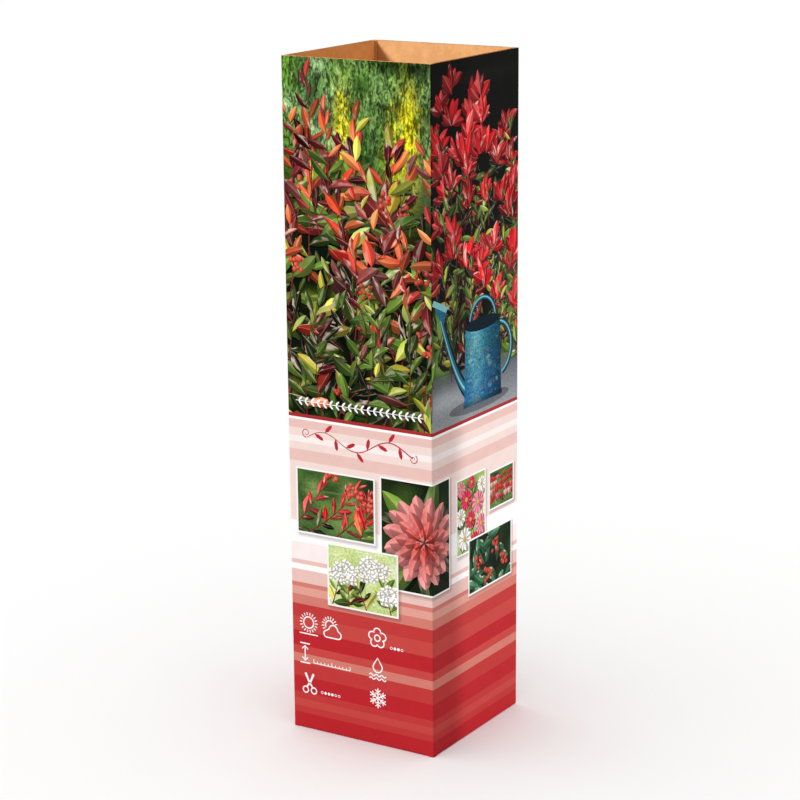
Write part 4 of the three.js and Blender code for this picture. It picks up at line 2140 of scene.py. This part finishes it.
def wall_sheet(side, art):
    lines = upright_lines(side)
    leave_out_covered(art)
    points, faces, inks, details, places = printed_front(art, lines)
    front_count = len(faces)
    rim = close_sheet(points, faces, inks, details, places, lines)
    outside = [placed(side, x, y, 0) for x, y in points]
    inside = [placed(side, x, y, LINER)[0] for x, y in rim]
    mesh = bpy.data.meshes.new("sheet")
    mesh.from_pydata([place for place, _ in outside] + inside, [], faces)
    mesh.materials.append(print_finish)
    mesh.materials.append(kraft_liner)
    is_front = [i < front_count for i in range(len(faces))]
    mesh.polygons.foreach_set("material_index", [int(not front) for front in is_front])
    mesh.polygons.foreach_set("use_smooth", is_front)
    attribute(mesh, "ink", "FLOAT_COLOR", "CORNER", inks)
    attribute(mesh, "leaf", "FLOAT_VECTOR", "CORNER", details)
    attribute(mesh, "board", "FLOAT_VECTOR", "POINT", [(x, y, 0) for x, y in (*points, *rim)])
    mesh.uv_layers.new(name="OFBake").data.foreach_set("uv", [n for place in places for n in place])
    unset = (0, 0, 0)
    mesh.normals_split_custom_set(
        [outside[k][1] if front else unset for face, front in zip(faces, is_front) for k in face]
    )
    return mesh


SEEDS = {"front": 11, "right": 23, "back": 37, "left": 41}
for side in SIDES:
    make = front_artwork if side in ("front", "back") else side_artwork
    art = make(SEEDS[side], sheet_outline(side))
    sheet = wall_sheet(side, art)
    piece = add_piece(f"{side}_print", sheet, "printed_board", f"{side}_wall")
    print(piece.name, len(piece.data.polygons), "faces")


# %% [markdown]
# ## The folds at the foot
#
# Each wall folds over into its flap at the floor. That fold is the corner fold's section, lying
# down. Its outside wears the red of the lowest stripe, so that no bare board shows at the foot.


# %% Bottom folds
def bottom_crease(side, end):
    mesh = extruded(fold_outline(0.0), -PANEL_HALF, end, kraft_liner, print_finish)
    corners = len(mesh.loops)
    attribute(mesh, "ink", "FLOAT_COLOR", "CORNER", [(*linear(*RED), 1)] * corners)
    attribute(mesh, "leaf", "FLOAT_VECTOR", "CORNER", [BARE] * corners)
    lying = Matrix(((0, 0, 1), (1, 0, 0), (0, 1, 0))).to_4x4()
    mesh.transform(turn(side) @ Matrix.Translation((0, -HALF, 0)) @ lying)
    return add_piece(f"{side}_bottom_crease", mesh, "printed_board", f"{side}_bottom_fold")


for side in SIDES:
    piece = bottom_crease(side, HALF if side == "right" else PANEL_HALF)
print(piece.name, len(piece.data.polygons), "faces")

# %% [markdown]
# ## Floor and light
#
# A studio shot of a box wants a plain pale floor that melts into a white background, light that
# is soft but comes from somewhere, and shadows that don't pull the eye. One lamp can't do that
# for a bright print, a deep brown inside and a white floor at once. Blender can keep a lamp to
# some of the objects, which is called light linking, so each gets the light that suits it:
#
# - the key, a sun from the front and the left, for the printed front,
# - the same sun again, stronger and softer, for the kraft inside, with a fill from the right in
#   the warm colour of light that has been thrown back by kraft,
# - a spot from the right for the right side. The edge of its beam runs up that side, a fifth
#   of the way along, and leaves the strip beside the fold in a soft shade,
# - a wide overhead light for the floor.
#
# The world is pure white to the camera, and gives less than half of that as light.

# %% Floor
FLOOR_HALF = 30  # metres, so that its edge is never seen
floor_mesh = bpy.data.meshes.new("floor")
floor_corners = rectangle(-FLOOR_HALF, -FLOOR_HALF, FLOOR_HALF, FLOOR_HALF)
floor_mesh.from_pydata([(x, y, 0) for x, y in floor_corners], [], [(0, 1, 2, 3)])
floor = put_in_scene("floor", floor_mesh)
floor_paint = bpy.data.materials.new("floor_paint")
floor_shader = principled(floor_paint, 0.9)
floor_shader.inputs["Base Color"].default_value = (0.9, 0.9, 0.9, 1)
floor_shader.inputs["Specular IOR Level"].default_value = 0.0
floor.data.materials.append(floor_paint)


# %% Lights
def light(name, kind, strength, travel, falls_on, **settings):
    """A lamp that shines along `travel` and lights only the objects of one collection."""
    made = put_in_scene(name, bpy.data.lights.new(name, kind))
    made.data.energy = strength
    for setting, value in settings.items():
        setattr(made.data, setting, value)
    aim(made, -Vector(travel).normalized())
    made.light_linking.receiver_collection = falls_on
    return made


def receivers(name, objects):
    collection = bpy.data.collections.new(name)
    for item in objects:
        collection.objects.link(item)
    return collection


printed = [piece for piece in PIECES if print_finish.name in piece.material_slots]
on_print = receivers("on_print", printed)
on_kraft = receivers("on_kraft", [piece for piece in PIECES if piece not in printed])
on_floor = receivers("on_floor", [floor])

KEY_TRAVEL = (0.75, 1, -0.82)
FILL_TRAVEL = (-0.8, -0.15, -0.6)
THROWN_BACK = (1, 0.57, 0.22)
light("key", "SUN", 1.6, KEY_TRAVEL, on_print, angle=math.radians(2.5))
light("inside_key", "SUN", 4.2, KEY_TRAVEL, on_kraft, angle=math.radians(14))
light("inside_fill", "SUN", 1.05, FILL_TRAVEL, on_kraft, angle=math.radians(20), color=THROWN_BACK)
light("overhead", "SUN", 2.2, (0.05, 0.1, -1), on_floor, angle=math.radians(80))

# %% The spot on the right side
BEAM_EDGE = Vector((61, -24, 250)) * MM  # a point of the right wall on the edge of the beam
SIDE_WAY = Vector((0.94, 0.34, 0.06)).normalized()
SIDE_DISTANCE = 10.0
CONE = math.radians(35)
beam_middle = Matrix.Rotation(-CONE, 3, "Z") @ SIDE_WAY
side_light = light("side_light", "SPOT", 1550, -beam_middle, on_print, spot_size=2 * CONE,
                   spot_blend=0.008, shadow_soft_size=0.005)
side_light.location = BEAM_EDGE + SIDE_WAY * SIDE_DISTANCE
print("spot at", [round(n, 2) for n in side_light.location])

# %% World
AMBIENT = 0.42
world = bpy.data.worlds.new("studio")
bpy.context.scene.world = world
world.use_nodes = True
sky = world.node_tree
background = sky.nodes["Background"]
seen_directly = sky.nodes.new("ShaderNodeLightPath").outputs["Is Camera Ray"]
brightness = math_node(sky, "MULTIPLY_ADD", seen_directly, 1 - AMBIENT, AMBIENT)
sky.links.new(brightness, background.inputs["Strength"])
background.inputs["Color"].default_value = (1, 1, 1, 1)
bpy.context.scene.view_settings.view_transform = "Standard"
